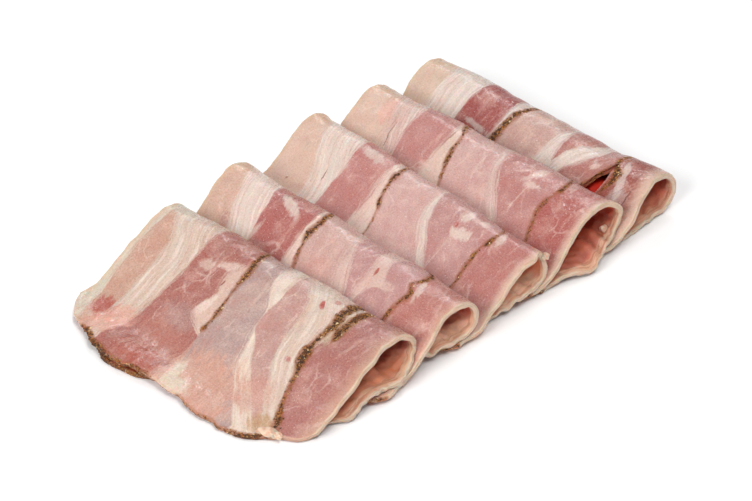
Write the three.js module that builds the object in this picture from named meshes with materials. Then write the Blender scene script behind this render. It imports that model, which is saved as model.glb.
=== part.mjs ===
// Five slices of spiced rolled pork belly, each folded in half and laid in a shingled row.
//
// Units are millimetres and +Z is up. X runs along the folds, from the left end of the row
// to the right end, and Y runs from the front slice to the back one. The row is built as it
// was laid: the back slice lies on the table, and each next slice is put down in front of
// it, with its folded ridge resting on the flat front part of the slice behind.

import * as THREE from 'three';

// ---------------------------------------------------------------------------
// Driving dimensions
// ---------------------------------------------------------------------------

const SHEET = 2.2; // thickness of one slice
const GAP = 0.5; // air left between two faces that touch
const TABLE = 0; // height of the surface that the row lies on

// Each slice from front to back. Where a size has two values, they are those of its left and
// its right end.
// ends: X of the two ends. ridge: Y of the highest line. top: height of that line. back: how
// far the bend bulges behind it. closes: how far in front of it the loop is pressed shut.
// crown: how broad the loop is on top, 1 for a tent and 2 for an arch. upper and lower: how
// far the two layers reach in front of the highest line. splay: how far the right edge
// spreads along X by the time it reaches the front.
const SLICES = [
  {
    name: 'slice_1', ends: [-55, 65], ridge: [-58, -57.5], top: [22.6, 23.2],
    back: [11, 12.8], closes: [38, 45], crown: [1.15, 2], upper: 59.5, lower: [56, 36], splay: 1,
  },
  {
    name: 'slice_2', ends: [-56.5, 67], ridge: [-22.5, -25], top: [23.2, 22.6],
    back: [11, 11.5], closes: [24, 29], crown: [1.7, 2], upper: 59, lower: [58, 50], splay: 1,
  },
  {
    name: 'slice_3', ends: [-60, 66], ridge: [24, 16.5], top: [23.2, 23.4],
    back: [9, 8], closes: [25, 34], crown: [1.8, 1.6], upper: 60, lower: [59, 50], splay: 0,
  },
  {
    name: 'slice_4', ends: [-57, 64], ridge: [54.5, 56], top: [23.6, 25],
    back: [10.5, 12.5], closes: [24, 36], crown: [1.8, 2.1], upper: 58, lower: [57, 50], splay: -1,
  },
  {
    name: 'slice_5', ends: [-58, 62.5], ridge: [88, 89], top: [20.4, 19.8],
    back: [12, 14], closes: [21, 28], crown: [1.9, 2], upper: 58, lower: [57, 50], splay: 5,
  },
];

const ARCH_FALL = 1.6; // how gently the loop runs out where it closes

// How meat drapes: a sheet falls away from a high spot along a parabola of this sag per
// square millimetre, and it bends round a hollow over twice this length.
const LOWER_SAG = 0.025;
const UPPER_SAG = 0.022;
const SOFTENING = 4;

// Outline of the cut edge, the same for every slice: it reaches furthest right of the middle,
// and the two front corners are rounded.
const FURTHEST = 0.7; // share of the length where the front edge reaches furthest
const LEFT_LOSS = 0.17; // share of the reach lost at the left end
const LEFT_POWER = 2.1; // how late that loss sets in: 1 is a straight edge
const RIGHT_LOSS = 0.24; // share of the reach lost at the right end
const RIGHT_POWER = 3;
const LOWER_POWER = 4; // how late the lower layer falls short towards the right end
const CORNER = [9, 7]; // rounding radius of the left and the right front corner
const CORNER_LIMIT = 0.97; // share of a corner's rounding that is kept, so that no edge is flat
const SPLAY_REACH = 45; // distance in front of the ridge where the splay is complete
const SPLAY_POWER = 3; // how close to the right end the splay stays

// A slow unevenness of the meat, as waves along the length
const WAVE_LENGTH = 47;
const WAVE_HEIGHT = 0.5;

// Facets
const END_STEPS = [0, 1.5, 4.5, 10]; // distances of the outer sections from each end
const MIDDLE_SECTIONS = 5; // further sections between those of the two ends
const UPPER_POINTS = 14; // points along the upper layer of a section
const BEND_POINTS = 9; // points round the bend
const LOWER_POINTS = 11; // points along the lower layer

// The heights of what lies under a slice are kept on a fine line of Y.
const LINE_START = -150;
const LINE_STEP = 0.5;
const LINE_COUNT = 560;
const CLEARING_PASSES = 3; // times that a bend is pushed off the slope behind it

// ---------------------------------------------------------------------------
// Small helpers
// ---------------------------------------------------------------------------

const { clamp, lerp } = THREE.MathUtils;

const lineY = (index) => LINE_START + index * LINE_STEP;

/** Height of a line of samples at any Y. */
function heightAt(line, y) {
  const place = clamp((y - LINE_START) / LINE_STEP, 0, LINE_COUNT - 1.001);
  const index = Math.floor(place);
  return lerp(line[index], line[index + 1], place - index);
}

/** How much thicker than the sheet itself a sloping sheet is when measured upright. */
function uprightShare(line, y) {
  return Math.hypot(1, (heightAt(line, y + 1) - heightAt(line, y - 1)) / 2);
}

/** Mean of a line of samples over a few millimetres to each side. */
function soften(line) {
  const span = Math.round(SOFTENING / LINE_STEP);
  return line.map((_, index) => {
    let sum = 0;
    for (let k = -span; k <= span; k += 1) sum += line[clamp(index + k, 0, LINE_COUNT - 1)];
    return sum / (2 * span + 1);
  });
}

/** A sheet laid over a line of heights: it touches the high spots and spans the hollows. */
function drape(ground, sag) {
  const highest = Math.max(...ground);
  const span = Math.ceil(Math.sqrt(highest / sag) / LINE_STEP);
  const laid = ground.map((_, index) => {
    let height = TABLE;
    for (let k = -span; k <= span; k += 1) {
      const other = clamp(index + k, 0, LINE_COUNT - 1);
      height = Math.max(height, ground[other] - sag * (k * LINE_STEP) ** 2);
    }
    return height;
  });
  return soften(laid);
}

/** Share of the reach that is left at a place along the slice, from 0 at the left end to 1. */
function outline(u) {
  const left = clamp((FURTHEST - u) / FURTHEST, 0, 1);
  const right = clamp((u - FURTHEST) / (1 - FURTHEST), 0, 1);
  return 1 - LEFT_LOSS * left ** LEFT_POWER - RIGHT_LOSS * right ** RIGHT_POWER;
}

/** How far a rounded corner of the given radius cuts back the edge near an end. */
function cornerCut(distance, radius) {
  const inside = clamp(1 - distance / radius, 0, CORNER_LIMIT);
  return radius * (1 - Math.sqrt(1 - inside * inside));
}

// ---------------------------------------------------------------------------
// One cross-section of one slice
// ---------------------------------------------------------------------------

/** How far the two layers of a slice reach forward at a share of its length. */
function reachesAt(slice, u) {
  const [middle, end] = slice.lower;
  return {
    upper: slice.upper * outline(u),
    lower: lerp(middle, end, u ** LOWER_POWER) * outline(u),
  };
}

/** The sizes of a slice at one place along its length. */
function sizesAt(slice, x) {
  const [left, right] = slice.ends;
  const u = clamp((x - left) / (right - left), 0, 1);
  const between = ([first, last]) => lerp(first, last, u);
  const wave = WAVE_HEIGHT * Math.sin((2 * Math.PI * x) / WAVE_LENGTH + slice.ridge[0]);
  // The next slice lies over the widest outline, with the splay and without rounded corners.
  const own = reachesAt(slice, u);
  const spread = reachesAt(slice, u - slice.splay / (right - left));
  return {
    ridge: between(slice.ridge) + wave,
    top: between(slice.top) + wave / 2,
    back: between(slice.back),
    closes: between(slice.closes),
    crown: between(slice.crown),
    upperReach: own.upper,
    lowerReach: own.lower,
    upperCover: Math.max(own.upper, spread.upper),
    lowerCover: Math.max(own.lower, spread.lower),
    cut: cornerCut(x - left, CORNER[0]) + cornerCut(right - x, CORNER[1]),
  };
}

/** Pushes a point of the bend off the slope behind it, so that half a sheet fits between. */
function clearOf(ground, point) {
  let [y, z] = point;
  for (let pass = 0; pass < CLEARING_PASSES; pass += 1) {
    const slope = (heightAt(ground, y + 1) - heightAt(ground, y - 1)) / 2;
    const length = Math.hypot(1, slope);
    const push = Math.max(SHEET / 2 + GAP - (z - heightAt(ground, y)) / length, 0);
    y -= (push * slope) / length;
    z += push / length;
  }
  return [y, z];
}

/**
 * Lays one slice on the ground at one section. Returns the middle line of the sheet as
 * points [y, z] from the tip of the upper layer, round the bend, to the tip of the lower one,
 * and the new ground that the next slice in front is laid on.
 */
function layDown(slice, x, ground) {
  const size = sizesAt(slice, x);
  const { ridge } = size;

  // Behind the ridge the slice touches nothing, so the ground there doesn't lift it.
  const underRidge = heightAt(ground, ridge);
  const below = ground.map((height, i) => (lineY(i) > ridge ? underRidge : height));
  const lower = drape(below, LOWER_SAG);

  // The upper layer lies on the lower one, and arches up from it into the loop.
  const covered = below.map((height, i) => {
    const y = lineY(i);
    return y < ridge - size.lowerCover ? height : lower[i] + SHEET * uprightShare(lower, y) + GAP;
  });
  const closed = drape(covered, UPPER_SAG);
  const rise = size.top - SHEET - heightAt(closed, ridge);
  const upper = closed.map((height, i) => {
    const share = clamp((ridge - lineY(i)) / size.closes, 0, 1);
    return height + rise * (1 - share ** size.crown) ** ARCH_FALL;
  });

  const middle = (line, y) => heightAt(line, y) + (SHEET / 2) * uprightShare(line, y);
  const points = [];
  for (let i = 0; i < UPPER_POINTS; i += 1) {
    const y = lerp(ridge - size.upperReach + size.cut, ridge, i / UPPER_POINTS);
    points.push([y, middle(upper, y)]);
  }
  const top = middle(upper, ridge);
  const bottom = middle(lower, ridge);
  for (let i = 0; i <= BEND_POINTS; i += 1) {
    const angle = Math.PI * (0.5 - i / BEND_POINTS);
    const y = ridge + (size.back - SHEET / 2) * Math.cos(angle);
    const z = (top + bottom) / 2 + ((top - bottom) / 2) * Math.sin(angle);
    points.push(clearOf(ground, [y, z]));
  }
  for (let i = 1; i <= LOWER_POINTS; i += 1) {
    const y = lerp(ridge, ridge - size.lowerReach + size.cut, i / LOWER_POINTS);
    points.push([y, middle(lower, y)]);
  }

  const nextGround = ground.map((height, i) => {
    const y = lineY(i);
    if (y < ridge - size.upperCover) return Math.max(height, covered[i]);
    return upper[i] + SHEET * uprightShare(upper, y) + GAP;
  });
  return { points, nextGround };
}

/** The section of one slice at x, with every slice behind it laid down first. */
function sectionOf(index, x) {
  let ground = new Array(LINE_COUNT).fill(TABLE);
  let laid;
  for (let i = SLICES.length - 1; i >= index; i -= 1) {
    laid = layDown(SLICES[i], x, ground);
    ground = laid.nextGround;
  }
  return laid.points;
}

// ---------------------------------------------------------------------------
// The solid of one slice
// ---------------------------------------------------------------------------

/** Places along the length where a slice gets a section, closer together near its ends. */
function sectionPlaces([left, right]) {
  const inner = END_STEPS[END_STEPS.length - 1];
  const places = END_STEPS.map((step) => left + step);
  const span = right - left - 2 * inner;
  for (let i = 1; i <= MIDDLE_SECTIONS; i += 1) {
    places.push(left + inner + (span * i) / (MIDDLE_SECTIONS + 1));
  }
  END_STEPS.toReversed().forEach((step) => places.push(right - step));
  return places;
}

/** The ring of points round a section: one face of the sheet forward, the other one back. */
function ringAround(points) {
  const faces = [[], []];
  points.forEach(([y, z], i) => {
    const before = points[Math.max(i - 1, 0)];
    const after = points[Math.min(i + 1, points.length - 1)];
    const along = new THREE.Vector2(after[0] - before[0], after[1] - before[1]).normalize();
    faces[0].push([y - (along.y * SHEET) / 2, z + (along.x * SHEET) / 2]);
    faces[1].push([y + (along.y * SHEET) / 2, z - (along.x * SHEET) / 2]);
  });
  return [...faces[0], ...faces[1].reverse()];
}

/** How far the splay of a slice moves a point along X. */
function splayAt(slice, x, y) {
  const [left, right] = slice.ends;
  const u = (x - left) / (right - left);
  const forward = clamp((sizesAt(slice, x).ridge - y) / SPLAY_REACH, 0, 1);
  return slice.splay * u ** SPLAY_POWER * forward;
}

function sliceGeometry(index) {
  const slice = SLICES[index];
  const places = sectionPlaces(slice.ends);
  const rings = places.map((x) => ringAround(sectionOf(index, x)));
  const count = rings[0].length;
  const positions = [];
  rings.forEach((ring, s) => {
    ring.forEach(([y, z]) => positions.push(places[s] + splayAt(slice, places[s], y), y, z));
  });

  const triangles = [];
  const quad = (a, b, c, d) => triangles.push(a, b, c, a, c, d);
  for (let s = 0; s < rings.length - 1; s += 1) {
    for (let k = 0; k < count; k += 1) {
      const next = (k + 1) % count;
      quad(s * count + k, (s + 1) * count + k, (s + 1) * count + next, s * count + next);
    }
  }
  // The two cut ends of the sheet, closed between one face and the other.
  const last = (rings.length - 1) * count;
  for (let k = 0; k < count / 2 - 1; k += 1) {
    const far = count - 1 - k;
    quad(k, k + 1, far - 1, far);
    quad(last + far, last + far - 1, last + k + 1, last + k);
  }

  const geometry = new THREE.BufferGeometry();
  geometry.setAttribute('position', new THREE.Float32BufferAttribute(positions, 3));
  geometry.setIndex(triangles);
  geometry.computeVertexNormals();
  return geometry;
}

// ---------------------------------------------------------------------------
// The row
// ---------------------------------------------------------------------------

const pack = new THREE.Group();
SLICES.forEach((slice, index) => {
  const meat = new THREE.MeshStandardMaterial({ color: 0xd2958c, roughness: 0.45, metalness: 0 });
  const mesh = new THREE.Mesh(sliceGeometry(index), meat);
  mesh.name = slice.name;
  pack.add(mesh);
});

// The origin is the middle of the row's box, on the surface that the row lies on.
const middle = new THREE.Box3().setFromObject(pack).getCenter(new THREE.Vector3());
pack.position.set(-middle.x, -middle.y, 0);

export default pack;
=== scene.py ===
# %% [markdown]
# # A shingled row of folded rolled pork belly slices
#
# Rolled pork belly is rubbed with pepper and herbs, rolled up, cured and sliced thin. Each slice
# is about as long as a hand is wide, and it is folded in half so that it stands as a loose loop.
# The slices are laid like roof tiles: the back one on the table, each next one in front, with
# its fold resting on the flat part of the one behind it.
#
# This lesson builds the five slices as thin sheets, gives them marbled meat by nodes, and
# scatters crumbs of pepper and herbs along the seams. The first step loads the fixed model that
# all sizes come from.

# %% Load the frame
import math

import bmesh
import bpy
import numpy as np
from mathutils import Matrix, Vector


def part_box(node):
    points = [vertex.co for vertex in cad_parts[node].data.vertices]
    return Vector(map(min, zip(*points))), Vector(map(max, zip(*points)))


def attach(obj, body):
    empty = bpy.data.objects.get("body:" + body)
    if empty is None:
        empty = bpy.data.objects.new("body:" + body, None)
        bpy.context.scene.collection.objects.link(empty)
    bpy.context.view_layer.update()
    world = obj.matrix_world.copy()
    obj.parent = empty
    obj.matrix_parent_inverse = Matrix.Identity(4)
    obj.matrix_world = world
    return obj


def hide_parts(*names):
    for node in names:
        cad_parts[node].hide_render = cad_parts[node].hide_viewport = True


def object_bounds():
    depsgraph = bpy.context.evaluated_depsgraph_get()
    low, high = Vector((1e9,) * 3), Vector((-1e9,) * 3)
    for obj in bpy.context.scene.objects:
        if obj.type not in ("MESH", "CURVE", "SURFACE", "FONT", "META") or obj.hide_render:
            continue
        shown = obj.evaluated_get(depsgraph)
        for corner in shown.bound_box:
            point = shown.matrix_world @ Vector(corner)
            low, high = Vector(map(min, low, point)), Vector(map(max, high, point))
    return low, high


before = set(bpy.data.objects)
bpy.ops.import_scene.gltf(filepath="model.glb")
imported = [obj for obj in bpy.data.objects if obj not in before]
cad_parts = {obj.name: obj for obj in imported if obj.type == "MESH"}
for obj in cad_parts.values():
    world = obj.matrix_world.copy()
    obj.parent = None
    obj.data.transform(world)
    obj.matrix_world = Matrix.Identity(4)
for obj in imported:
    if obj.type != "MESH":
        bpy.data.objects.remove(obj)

MM = 0.001
cad_low, cad_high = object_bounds()
print("frame box in mm", [round(v / MM, 1) for v in (*cad_low, *cad_high)])

# %% [markdown]
# ## Colours
#
# Colours of food are easiest to judge as they look on a screen, so they are written as sRGB hex
# values. Blender mixes light in linear values, so one function turns each of them to linear.


# %% Colour from hex
def linear(code):
    """Linear RGBA of an sRGB hex colour."""
    values = [int(code[i:i + 2], 16) / 255 for i in (1, 3, 5)]
    return (*(v / 12.92 if v <= 0.04045 else ((v + 0.055) / 1.055) ** 2.4 for v in values), 1.0)


print("half grey on a screen is", round(linear("#808080")[0], 3), "of full light")


# %% [markdown]
# ## Sizes of the slices
#
# All lengths here are millimetres. The ends, heights and places of the slices come from the
# frame's boxes, and each slice adds how its fold lies inside its box. Two values belong to the
# left and the right end, and everything between them is blended.

# %% Slice sizes
SHEET = 2.2  # thickness of a slice
GAP = 0.3  # air between two faces that touch
ARCH_FALL = 1.6  # how steeply the front of a loop comes down
LOWER_SAG = 0.025  # fall in mm, for each square mm of distance, off a high spot
UPPER_SAG = 0.022
SOFTENING = 4  # distance over which a sheet evens out what lies below

# length: along the fold. behind: how far the highest line lies in front of the back of the box.
# below: how far it lies under the top of the box. back: how far the bend bulges. closes: how
# far in front of the highest line the loop is pressed shut. crown: how broad the loop is on
# top. upper, lower: how far the layers reach forward. splay: how far the right edge spreads.
SLICES = {
    "slice_1": dict(length=120, behind=(13.5, 13.0), below=(0.8, 0.2), back=(11, 12.8),
                    closes=(38, 45), crown=(1.15, 2), upper=59.5, lower=(56, 36), splay=1,
                    wave_start=5.36),
    "slice_2": dict(length=123.5, behind=(11.3, 13.8), below=(0.2, 0.8), back=(11, 11.5),
                    closes=(24, 29), crown=(1.7, 2), upper=59, lower=(58, 50), splay=1,
                    wave_start=3.16),
    "slice_3": dict(length=126, behind=(8.7, 16.2), below=(0.4, 0.2), back=(9, 8),
                    closes=(25, 34), crown=(1.8, 1.6), upper=60, lower=(59, 50), splay=0,
                    wave_start=5.68),
    "slice_4": dict(length=121, behind=(13.9, 12.4), below=(1.5, 0.1), back=(10.5, 12.5),
                    closes=(24, 36), crown=(1.8, 2.1), upper=58, lower=(57, 50), splay=-1,
                    wave_start=4.76),
    "slice_5": dict(length=120.5, behind=(15.2, 14.2), below=(0.1, 0.7), back=(12, 14),
                    closes=(21, 28), crown=(1.9, 2), upper=58, lower=(57, 50), splay=5,
                    wave_start=0.56),
}
for number, (name, size) in enumerate(SLICES.items(), 1):
    low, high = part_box(name)
    size["seed"] = number
    size["left"] = low.x / MM
    size["ridge"] = [high.y / MM - inset for inset in size["behind"]]
    size["top"] = [high.z / MM - inset for inset in size["below"]]
    print(name, "left end", round(size["left"], 1), "ridge", [round(y, 1) for y in size["ridge"]])

# %% [markdown]
# ## Unevenness
#
# Meat is never regular, and a ruler-straight edge gives a model away. A few sine waves in
# seeded random directions add up to a soft unevenness that is the same on every run, and that
# can be asked for at any place. One table names each unevenness of a slice with its height and
# wavelength, so that all of them can be judged side by side.

# %% Ripple
# Height and wavelength in mm, and a seed to which the number of the slice is added. The height
# of the thickness is a share of it.
UNEVEN = {
    "ridge": (0.15, 11, 0),
    "right edge": (0.45, 17, 10), "right edge, fine": (1, 5, 20),
    "left edge": (0.35, 19, 30), "left edge, fine": (0.15, 5, 40),
    "front edge": (0.5, 9, 50), "front edge, fine": (0.25, 3, 60),
    "back edge": (0.8, 12, 70), "sides of the split": (0.5, 3, 76),
    "thickness": (0.07, 14, 90),
    "outer face": (0.13, 7, 101), "outer face, fine": (0.05, 2.6, 111),
    "inner face": (0.13, 7, 99), "inner face, fine": (0.05, 2.6, 109),
    "mouth of the loop": (0.7, 5, 120),
}


def ripple(across, along, wave, seed, waves=6):
    """Soft unevenness between about -1 and 1, with humps about one wave long."""
    draw = np.random.default_rng(seed)
    total = 0
    for turn, start, stretch in draw.uniform((0, 0, 0.7), (math.pi, 2 * math.pi, 1.6), (waves, 3)):
        run = (across * math.cos(turn) + along * math.sin(turn)) * stretch
        total = total + np.sin(2 * math.pi * run / wave + start)
    return total / math.sqrt(2 * waves)


def uneven(word, name, across, along=0):
    """The unevenness that the table gives to a word, on one slice."""
    height, wave, seed = UNEVEN[word]
    return height * ripple(across, along, wave, seed + SLICES[name]["seed"])


sample = uneven("right edge", "slice_1", np.arange(0, 100, 0.5))
print("right edge of slice_1 wanders from", round(float(sample.min()), 2), "to",
      round(float(sample.max()), 2), "mm")

# %% [markdown]
# ## Draping
#
# Cloth simulation could drop the sheets on each other, but a slice of meat is stiffer than
# cloth, and its fold would spring open. Here the heights of what lies below are kept on a grid,
# X by Y, and each layer is laid on it by a rule: it touches the high spots and falls away from
# them along a parabola. That is quick, gives the same result each time, and never cuts through.

# %% Height grid
COLUMN = 0.8  # distance between columns along X
LINE = 0.5  # distance between lines along Y
SIDE_ROOM, FRONT_ROOM, BACK_ROOM = 8, 34, 14  # how far the grid reaches past the frame's box
columns = np.arange(cad_low.x / MM - SIDE_ROOM, cad_high.x / MM + SIDE_ROOM, COLUMN)
lines = np.arange(cad_low.y / MM - FRONT_ROOM, cad_high.y / MM + BACK_ROOM, LINE)
print("grid of", len(columns), "columns and", len(lines), "lines")


def moved(heights, steps):
    """The grid of heights moved along Y by whole steps, with its border repeated."""
    index = np.clip(np.arange(heights.shape[1]) + steps, 0, heights.shape[1] - 1)
    return heights[:, index]


def height_at(heights, y):
    """Heights at Y for every column, where y has one row for each column."""
    place = np.clip((y - lines[0]) / LINE, 0, len(lines) - 1.001)
    index = place.astype(int)
    rows = np.arange(len(columns)).reshape(-1, *[1] * (np.ndim(y) - 1))
    share = place - index
    return heights[rows, index] * (1 - share) + heights[rows, index + 1] * share


def drape(ground, sag):
    """A sheet laid over the ground, which touches high spots and spans hollows."""
    span = int(math.ceil(math.sqrt(max(ground.max(), 0.01) / sag) / LINE))
    laid = np.zeros_like(ground)
    for step in range(-span, span + 1):
        laid = np.maximum(laid, moved(ground, step) - sag * (step * LINE) ** 2)
    reach = int(round(SOFTENING / LINE))
    return sum(moved(laid, step) for step in range(-reach, reach + 1)) / (2 * reach + 1)


def upright(heights):
    """How much thicker a sloping sheet is when measured upright."""
    return np.hypot(1, (moved(heights, 2) - moved(heights, -2)) / 2)


# %% [markdown]
# ## The outline of a slice
#
# The cut edge reaches furthest right of the middle, and its two front corners are rounded. The
# ridge dips where the meat is softer, so each slice may name dips: place along its length,
# width and depth.

# %% Outline
FURTHEST = 0.7  # share of the length at which a slice reaches furthest forward
LEFT_LOSS, LEFT_POWER = 0.17, 2.1  # share of the reach that is lost at the left end, and how late
RIGHT_LOSS, RIGHT_POWER = 0.24, 3
LOWER_POWER = 4
WAVE_LENGTH, WAVE_HEIGHT = 47, 0.5  # a long wave in the place of the ridge
CORNERS = (9, 7)  # radius of the front corners, left and right

DIPS = {
    "slice_2": [(0.1, 0.06, 0.7)],
    "slice_5": [(0.59, 0.1, 2), (0.77, 0.06, 1.3)],
}


def humps(value, table):
    """The sum of a table's humps at a value, each hump given by place, width and height."""
    return sum(height * np.exp(-((value - place) / width) ** 2) for place, width, height in table)


def kept_reach(u):
    """Share of the reach that is left at a share u of the length."""
    left = np.clip((FURTHEST - u) / FURTHEST, 0, 1)
    right = np.clip((u - FURTHEST) / (1 - FURTHEST), 0, 1)
    return 1 - LEFT_LOSS * left ** LEFT_POWER - RIGHT_LOSS * right ** RIGHT_POWER


def corner_cut(distance, radius):
    """How far a rounded corner cuts back the edge at a distance from an end."""
    inside = np.clip(1 - distance / radius, 0, 0.97)
    return radius * (1 - np.sqrt(1 - inside ** 2))


def section_sizes(name):
    """The sizes of a slice in every column."""
    size = SLICES[name]
    u = np.clip((columns - size["left"]) / size["length"], 0, 1)
    blend = {key: size[key][0] + (size[key][1] - size[key][0]) * u
             for key in ("ridge", "top", "back", "closes", "crown")}
    wave = WAVE_HEIGHT * np.sin(2 * math.pi * columns / WAVE_LENGTH + size["wave_start"])
    blend["ridge"] = blend["ridge"] + wave
    blend["top"] = blend["top"] + wave / 2 + uneven("ridge", name, columns)
    blend["top"] = blend["top"] - humps(u, DIPS.get(name, []))
    spread = u - size["splay"] / size["length"]
    reaches = {}
    for key, share in (("own", u), ("cover", spread)):
        middle, end = size["lower"]
        kept = kept_reach(share)
        reaches[key] = (size["upper"] * kept,
                        (middle + (end - middle) * np.clip(share, 0, 1) ** LOWER_POWER) * kept)
    cut = corner_cut(np.abs(columns - size["left"]), CORNERS[0])
    cut = cut + corner_cut(np.abs(size["left"] + size["length"] - columns), CORNERS[1])
    return blend, reaches, cut


for name in SLICES:
    print(name, "reaches forward", round(float(section_sizes(name)[1]["own"][0].max()), 1), "mm")

# %% [markdown]
# ## Folding one slice
#
# A section across the slice is one line: from the tip of the upper layer back to the highest
# point, round the bend, and forward again to the tip of the lower layer. It is measured by
# arc length from the highest point, because that is where a mark on the meat stays when the
# slice is folded. Positive lengths lie on the upper layer.

# %% Fold the slices
OVERRUN = 14  # how far past its tips a section is known, so that a ragged edge finds its place
UPPER_POINTS, BEND_POINTS, LOWER_POINTS = 130, 61, 120  # points of a section
lengths = np.arange(-110, 80, 0.5)  # arc lengths at which every section is kept


def push_off(ground, y, z):
    """Moves points of a bend off the slope behind it, until half a sheet fits between."""
    for _ in range(4):
        slope = (height_at(ground, y + 1) - height_at(ground, y - 1)) / 2
        lean = np.hypot(1, slope)
        push = np.maximum(SHEET / 2 + GAP - (z - height_at(ground, y)) / lean, 0)
        y = y - push * slope / lean
        z = z + push / lean
    return y, z


def fold(name, ground):
    """Lays one slice on the ground. Returns its sections and the ground for the next slice."""
    size, reaches, cut = section_sizes(name)
    (upper_reach, lower_reach), (upper_cover, lower_cover) = reaches["own"], [
        np.maximum(a, b) for a, b in zip(reaches["own"], reaches["cover"])]
    ridge = size["ridge"][:, None]
    under = height_at(ground, size["ridge"])[:, None]
    below = np.where(lines > ridge, under, ground)
    lower = drape(below, LOWER_SAG)
    covered = np.where(lines < ridge - lower_cover[:, None], below,
                       lower + SHEET * upright(lower) + GAP)
    closed = drape(covered, UPPER_SAG)
    rise = (size["top"] - SHEET - height_at(closed, size["ridge"]))[:, None]
    share = np.clip((ridge - lines) / size["closes"][:, None], 0, 1)
    upper = closed + rise * (1 - share ** size["crown"][:, None]) ** ARCH_FALL

    upper_middle = upper + SHEET / 2 * upright(upper)
    lower_middle = lower + SHEET / 2 * upright(lower)
    there = np.linspace(0, 1, UPPER_POINTS, endpoint=False)
    y_upper = ridge - (upper_reach[:, None] + OVERRUN) * (1 - there)
    angle = math.pi * (0.5 - np.linspace(0, 1, BEND_POINTS))
    top = height_at(upper_middle, size["ridge"])[:, None]
    bottom = height_at(lower_middle, size["ridge"])[:, None]
    y_bend, z_bend = push_off(
        ground,
        ridge + (size["back"][:, None] - SHEET / 2) * np.cos(angle),
        (top + bottom) / 2 + (top - bottom) / 2 * np.sin(angle))
    y_lower = ridge - (lower_reach[:, None] + OVERRUN) * np.linspace(0, 1, LOWER_POINTS + 1)[1:]
    y = np.concatenate([y_upper, y_bend, y_lower], 1)
    z = np.concatenate([height_at(upper_middle, y_upper), z_bend,
                        height_at(lower_middle, y_lower)], 1)

    run = np.hypot(np.diff(y, axis=1), np.diff(z, axis=1)).cumsum(1)
    run = np.concatenate([np.zeros((len(columns), 1)), run], 1)
    along = run[:, len(there):len(there) + 1] - run
    tip_y = size["ridge"] - upper_reach + cut
    end_y = size["ridge"] - lower_reach + cut
    ahead, behind = slice(None, UPPER_POINTS), slice(None, UPPER_POINTS + BEND_POINTS - 1, -1)
    sheet = dict(
        y=np.array([np.interp(lengths, a[::-1], b[::-1]) for a, b in zip(along, y)]),
        z=np.array([np.interp(lengths, a[::-1], b[::-1]) for a, b in zip(along, z)]),
        tip=np.array([np.interp(t, b[ahead], a[ahead]) for t, a, b in zip(tip_y, along, y)]),
        end=np.array([np.interp(t, b[behind], a[behind]) for t, a, b in zip(end_y, along, y)]),
    )
    next_ground = np.where(lines < ridge - upper_cover[:, None], np.maximum(ground, covered),
                           upper + SHEET * upright(upper) + GAP)
    return sheet, next_ground


sheets = {}
ground = np.zeros((len(columns), len(lines)))
for name in reversed(SLICES):
    sheets[name], ground = fold(name, ground)
    print(name, "flat width", round(float((sheets[name]["tip"] - sheets[name]["end"]).max()), 1), "mm")

# %% [markdown]
# ## Cut edges
#
# A machine cuts the slice, but the meat gives way under the blade and dries a little, so its
# edges wander by a millimetre or two. The right end is the outside of the roll, where a rim of
# fat curls and sags. Each slice lists bulges of its right edge: at which arc length, how wide,
# and how far it stands out or draws back.

# %% Right edges
BULGES = {
    "slice_1": [(-6, 9, 0.8), (20, 13, 3.4), (35, 9, 1.7), (-29, 10, 4.2), (-44, 9, 3),
                (-56, 6, 3.6)],
    "slice_2": [(-14, 10, 0.6), (22, 13, 1.6), (44, 6, 2.2), (-48, 9, -3.6)],
    "slice_3": [(2, 3.5, 1.8), (-7, 5, -1.6), (14, 14, 1.6), (38, 10, 1.4), (-48, 9, -4)],
    "slice_4": [(-10, 8, 1.1), (22, 12, 2.2), (36, 10, 2.2), (34, 12, 0.9), (-41.5, 12, 6)],
    "slice_5": [(-14, 8, -1), (14, 11, 1.8), (23, 8, 1.6), (-48, 9, 0.4)],
}
# Front edges of the upper layer and back edges of the lower one: the distance from the left
# end, how wide, and how much farther the edge reaches.
FRONTS = {"slice_1": [(30, 17, 6.4), (10, 6, 1), (42, 8, 1), (80, 7, 1.4), (111, 8, -4.5)]}
ENDS = {"slice_1": [(108, 10, 4), (34, 20, 9.5)], "slice_4": [(112, 14, -2)]}
SPLAY_LENGTH = 50  # arc length over which the right edge spreads
# The fine unevenness of the right edge is stronger on the lower layer than on the upper one.
FINE_LOWER, FINE_UPPER, FINE_FROM = 0.3, 0.1, -14


def right_end(name, along):
    """X of the right edge of a slice at any arc length."""
    size = SLICES[name]
    forward = np.clip(along / SPLAY_LENGTH, 0, 1)
    edge = size["left"] + size["length"] + size["splay"] * forward
    upper = np.clip((along - FINE_FROM) / -FINE_FROM, 0, 1)
    fine = FINE_LOWER - (FINE_LOWER - FINE_UPPER) * upper
    edge = edge + uneven("right edge", name, along)
    edge = edge + fine * uneven("right edge, fine", name, along)
    return edge + humps(along, BULGES[name])


def left_end(name, along):
    """X of the left edge of a slice at any arc length."""
    edge = SLICES[name]["left"] + uneven("left edge", name, along)
    return edge + uneven("left edge, fine", name, along)


for name in SLICES:
    edge = right_end(name, np.linspace(-50, 50, 101))
    print(name, "right edge between X", round(float(edge.min()), 1), "and", round(float(edge.max()), 1))

# %% [markdown]
# ## Folds inside the loops
#
# The lower layer isn't pulled tight. Where the loop leaves it room it stands up in low folds,
# which show as wrinkles in the open end. A fold is a hump on the lower layer: its place by X
# and arc length, how wide it is each way, and its height.

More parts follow.
